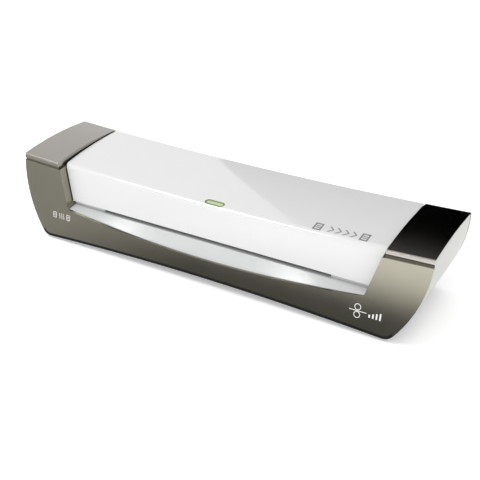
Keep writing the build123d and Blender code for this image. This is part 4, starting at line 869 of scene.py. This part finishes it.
@dataclass
class Prints:
    """All printed marks: plain pictograms with no lettering."""

    stroke: float = 0.55
    left_spot: tuple[float, float] = (-186.0, 25.0)
    right_spot: tuple[float, float] = (160.0, 19.0)
    top_spot: tuple[float, float] = (104.0, -30.0)
    top_stroke: float = 1.7
    pouch_halves: tuple[float, ...] = (52.5, 74.0, 105.0, 114.0)

    def build(self) -> None:
        """Lay each print."""
        self._front_left().build()
        self._front_right().build()
        self._top_right().build()
        self._size_marks().build()

    def _front_left(self) -> Print:
        """Sheet and heat marks at the left foot of the front.

        Returns:
            The print.
        """
        (x, z), w = self.left_spot, self.stroke
        strokes = sheet_mark(x, z, 6.0, w)
        for index in range(3):
            strokes += wave(x + 8.5 + 2.6 * index, z, 6.0, w, 0.7)
        strokes += sheet_mark(x + 17.5, z, 6.0, w)
        return Print("front_left_print", "front_frame", Finish.WHITE_PRINT, "frame_metallic",
                     strokes, on_front)

    def _front_right(self) -> Print:
        """Sheet between two rollers at the right foot of the front.

        Returns:
            The print.
        """
        (x, z), w = self.right_spot, self.stroke
        strokes = ring(x + 3.2, z + 7.0, 3.2, w * 1.2) + ring(x + 3.2, z - 0.4, 3.2, w * 1.2)
        strokes += [bar(x - 4.5, z + 3.3, 16.5, w * 1.2)]
        for index in range(4):
            strokes += [upright(x + 15.0 + 3.4 * index, z, 3.0 + index * 1.2, 1.5)]
        return Print("front_right_print", "front_frame", Finish.WHITE_PRINT, "frame_metallic",
                     strokes, on_front)

    def _top_right(self) -> Print:
        """Grey mark on the top cover: a sheet, arrows and a sheet.

        Returns:
            The print.
        """
        (x, y), w = self.top_spot, self.top_stroke
        strokes = sheet_mark(x, y, 11.0, w) + sheet_mark(x + 46.0, y, 11.0, w)
        for index in range(4):
            strokes += chevron(x + 14.0 + 7.5 * index, y + 1.0, 9.0, 1.9)
        return Print("top_print", "top_cover", Finish.GREY_PRINT, "cover_white", strokes, on_top)

    def _size_marks(self) -> Print:
        """Faint centring marks for pouch sizes along the tray.

        Returns:
            The print.
        """
        strokes: list[Outline] = []
        for half in self.pouch_halves:
            for side in (-1, 1):
                x = side * half
                strokes += [upright(x, -45.6, 3.2, 0.5), bar(x if side < 0 else x - 5.0, -43.2, 5.0, 0.6)]
        strokes += [upright(0.0, -46.0, 3.6, 0.5)]
        return Print("size_marks", "entry_tray", Finish.PALE_PRINT, "tray_white", strokes, on_top)


# ---------------------------------------------------------------- studio
PAPER = Surface((0.95, 0.95, 0.95), (0.96, 0.96, 0.96), 0.95, 0.04, grain_scale=300,
                grain_height=0.01, glow=0.32)


@dataclass(frozen=True)
class Card:
    """Flat studio card that only shows in reflections."""

    name: str
    corners: tuple[Colour, Colour, Colour, Colour]
    near: float
    far: float
    axis: int = 2
    start: float = 0.0
    end: float = 1.0
    side_level: Optional[float] = None
    side_start: float = 0.0
    side_end: float = 1.0

    def build(self) -> None:
        """Add the card with its brightness changing along one axis."""
        card = mesh_object(self.name, [Vector(corner) for corner in self.corners], [(0, 1, 2, 3)])
        card.data.materials.append(self._material())
        card.visible_camera = False
        card.visible_diffuse = False
        card.visible_shadow = False
        card.visible_transmission = False

    def _material(self) -> bpy.types.Material:
        """Glowing card whose level runs along an axis, and fades to another level beside it.

        Returns:
            The card's material.
        """
        material = bpy.data.materials.new(self.name)
        material.use_nodes = True
        tree = material.node_tree
        shader = tree.nodes["Principled BSDF"]
        shader.inputs["Base Color"].default_value = (0, 0, 0, 1)
        shader.inputs["Roughness"].default_value = 1.0
        shader.inputs["Specular IOR Level"].default_value = 0.0
        place = tree.nodes.new("ShaderNodeTexCoord")
        split = tree.nodes.new("ShaderNodeSeparateXYZ")
        tree.links.new(place.outputs["Object"], split.inputs[0])
        level = self._ramp(tree, split.outputs[self.axis], self.start, self.end, self.near, self.far)
        if self.side_level is not None:
            share = self._ramp(tree, split.outputs[0], self.side_start, self.side_end, 0.0, 1.0)
            mix = tree.nodes.new("ShaderNodeMix")
            mix.inputs["A"].default_value = self.side_level
            tree.links.new(share, mix.inputs["Factor"])
            tree.links.new(level, mix.inputs["B"])
            level = mix.outputs["Result"]
        tint = tree.nodes.new("ShaderNodeCombineColor")
        for index in range(3):
            tree.links.new(level, tint.inputs[index])
        tree.links.new(tint.outputs[0], shader.inputs["Emission Color"])
        shader.inputs["Emission Strength"].default_value = 1.0
        return material

    @staticmethod
    def _ramp(tree: bpy.types.NodeTree, socket: bpy.types.NodeSocket, start: float, end: float,
              low: float, high: float) -> bpy.types.NodeSocket:
        """Soft change from one level to another along a coordinate.

        Args:
            tree: Node tree of the card's material.
            socket: Coordinate.
            start: Coordinate where the change starts.
            end: Coordinate where it ends.
            low: Level at the start.
            high: Level at the end.

        Returns:
            The level.
        """
        ramp = tree.nodes.new("ShaderNodeMapRange")
        ramp.interpolation_type = "SMOOTHSTEP"
        for name, value in (("From Min", start), ("From Max", end), ("To Min", low), ("To Max", high)):
            ramp.inputs[name].default_value = value
        tree.links.new(socket, ramp.inputs["Value"])
        return ramp.outputs["Result"]


def standing_card(name: str, left: float, right: float, distance: float, foot: float, top: float,
                  near: float, far: float) -> Card:
    """Upright card between two azimuths, darker or brighter with height.

    Args:
        name: Name of the card.
        left: Azimuth of its left end, in degrees from the rear.
        right: Azimuth of its right end.
        distance: Distance of its middle.
        foot: Elevation of its foot in degrees.
        top: Elevation of its top in degrees.
        near: Level at the foot.
        far: Level at the top.

    Returns:
        The card.
    """
    ends = [(distance * math.sin(math.radians(a)), distance * math.cos(math.radians(a)))
            for a in (left, right)]
    low, high = (distance * math.tan(math.radians(e)) for e in (foot, top))
    corners = ((*ends[0], low), (*ends[1], low), (*ends[1], high), (*ends[0], high))
    return Card(name, corners, near, far, 2, low + 0.45 * (high - low), high)


@dataclass
class Studio:
    """Camera, floor, world, lights and reflection cards."""

    azimuth: float = 29.88
    elevation: float = 29.41
    distance: float = 0.9184
    aim: Colour = (0.00726, 0.00755, 0.02096)
    focal_length: float = 67.5
    sensor: float = 36.0
    floor_size: float = 14.0
    world_level: float = 0.9

    def build(self) -> None:
        """Set up the whole studio."""
        self._camera()
        self._world()
        self._floor()
        self._lights()
        self._cards()

    def _camera(self) -> None:
        """Place the camera on its azimuth and elevation, looking at the aim point."""
        azimuth = math.radians(self.azimuth)
        elevation = math.radians(self.elevation)
        back = Vector((math.sin(azimuth) * math.cos(elevation),
                       -math.cos(azimuth) * math.cos(elevation),
                       math.sin(elevation)))
        data = bpy.data.cameras.new("studio_camera")
        data.lens = self.focal_length
        data.sensor_width = self.sensor
        data.clip_start = 0.01
        camera = bpy.data.objects.new("studio_camera", data)
        camera.location = Vector(self.aim) + back * self.distance
        camera.rotation_euler = back.to_track_quat("Z", "Y").to_euler()
        bpy.context.scene.collection.objects.link(camera)
        bpy.context.scene.camera = camera

    def _world(self) -> None:
        """Even pale surroundings."""
        world = bpy.data.worlds.new("studio_world")
        world.use_nodes = True
        background = world.node_tree.nodes["Background"]
        background.inputs["Color"].default_value = (1.0, 1.0, 1.0, 1.0)
        background.inputs["Strength"].default_value = self.world_level
        scene = bpy.context.scene
        scene.world = world
        scene.view_settings.view_transform = "Standard"

    def _floor(self) -> None:
        """Plain pale paper floor."""
        half = self.floor_size / 2
        floor = mesh_object("studio_floor", [Vector((x * half, y * half, 0)) for x, y in
                                             ((-1, -1), (1, -1), (1, 1), (-1, 1))], [(0, 1, 2, 3)])
        floor.data.materials.append(PAPER.build("studio_paper"))

    def _lights(self) -> None:
        """Soft key from the upper left front, and a wide front fill."""
        self._soft_box("key_light", (-0.65, -0.52, 1.25), 0.40, 5.5)
        self._soft_box("front_fill", (-0.5, -2.2, 0.9), 1.6, 5.0)

    def _cards(self) -> None:
        """Dark board behind, dark stretch of floor in front, bright strip above the front edge."""
        standing_card("rear_flag", -30.5, 48.0, 4.0, 0.0, 50.0, 0.0, 0.18).build()
        Card("floor_flag", ((-0.9, -0.75, 0.0008), (0.7, -0.75, 0.0008), (0.7, -0.04, 0.0008),
                            (-0.9, -0.04, 0.0008)), 0.15, 1.8, 1, -0.13, -0.38,
             side_level=0.60, side_start=-0.27, side_end=-0.02).build()
        Card("ridge_strip", ((-1.35, -0.70, 1.27), (0.0, -0.70, 1.27), (0.0, -0.80, 1.19),
                             (-1.35, -0.80, 1.19)), 4.5, 4.5).build()

    @staticmethod
    def _soft_box(name: str, place: Colour, size: float, power: float) -> bpy.types.Object:
        """Add one square area light that points at the machine.

        Args:
            name: Name of the light.
            place: Where it stands.
            size: Edge length.
            power: Power in watts.

        Returns:
            The light object.
        """
        data = bpy.data.lights.new(name, "AREA")
        data.size = size
        data.energy = power
        light = bpy.data.objects.new(name, data)
        light.location = place
        light.rotation_euler = Vector(place).to_track_quat("Z", "Y").to_euler()
        bpy.context.scene.collection.objects.link(light)
        return light


def main() -> None:
    """Build and dress the sub-assemblies in order."""
    logging.basicConfig(level=logging.INFO, format="%(name)s: %(message)s")
    for part in (Casing(), RollerDrive(), ReleaseGear(), HeatSection(), Electrics(), PowerButton()):
        part.build()
        part.dress()
    Prints().build()
    Studio().build()


if __name__ == "__main__":
    main()
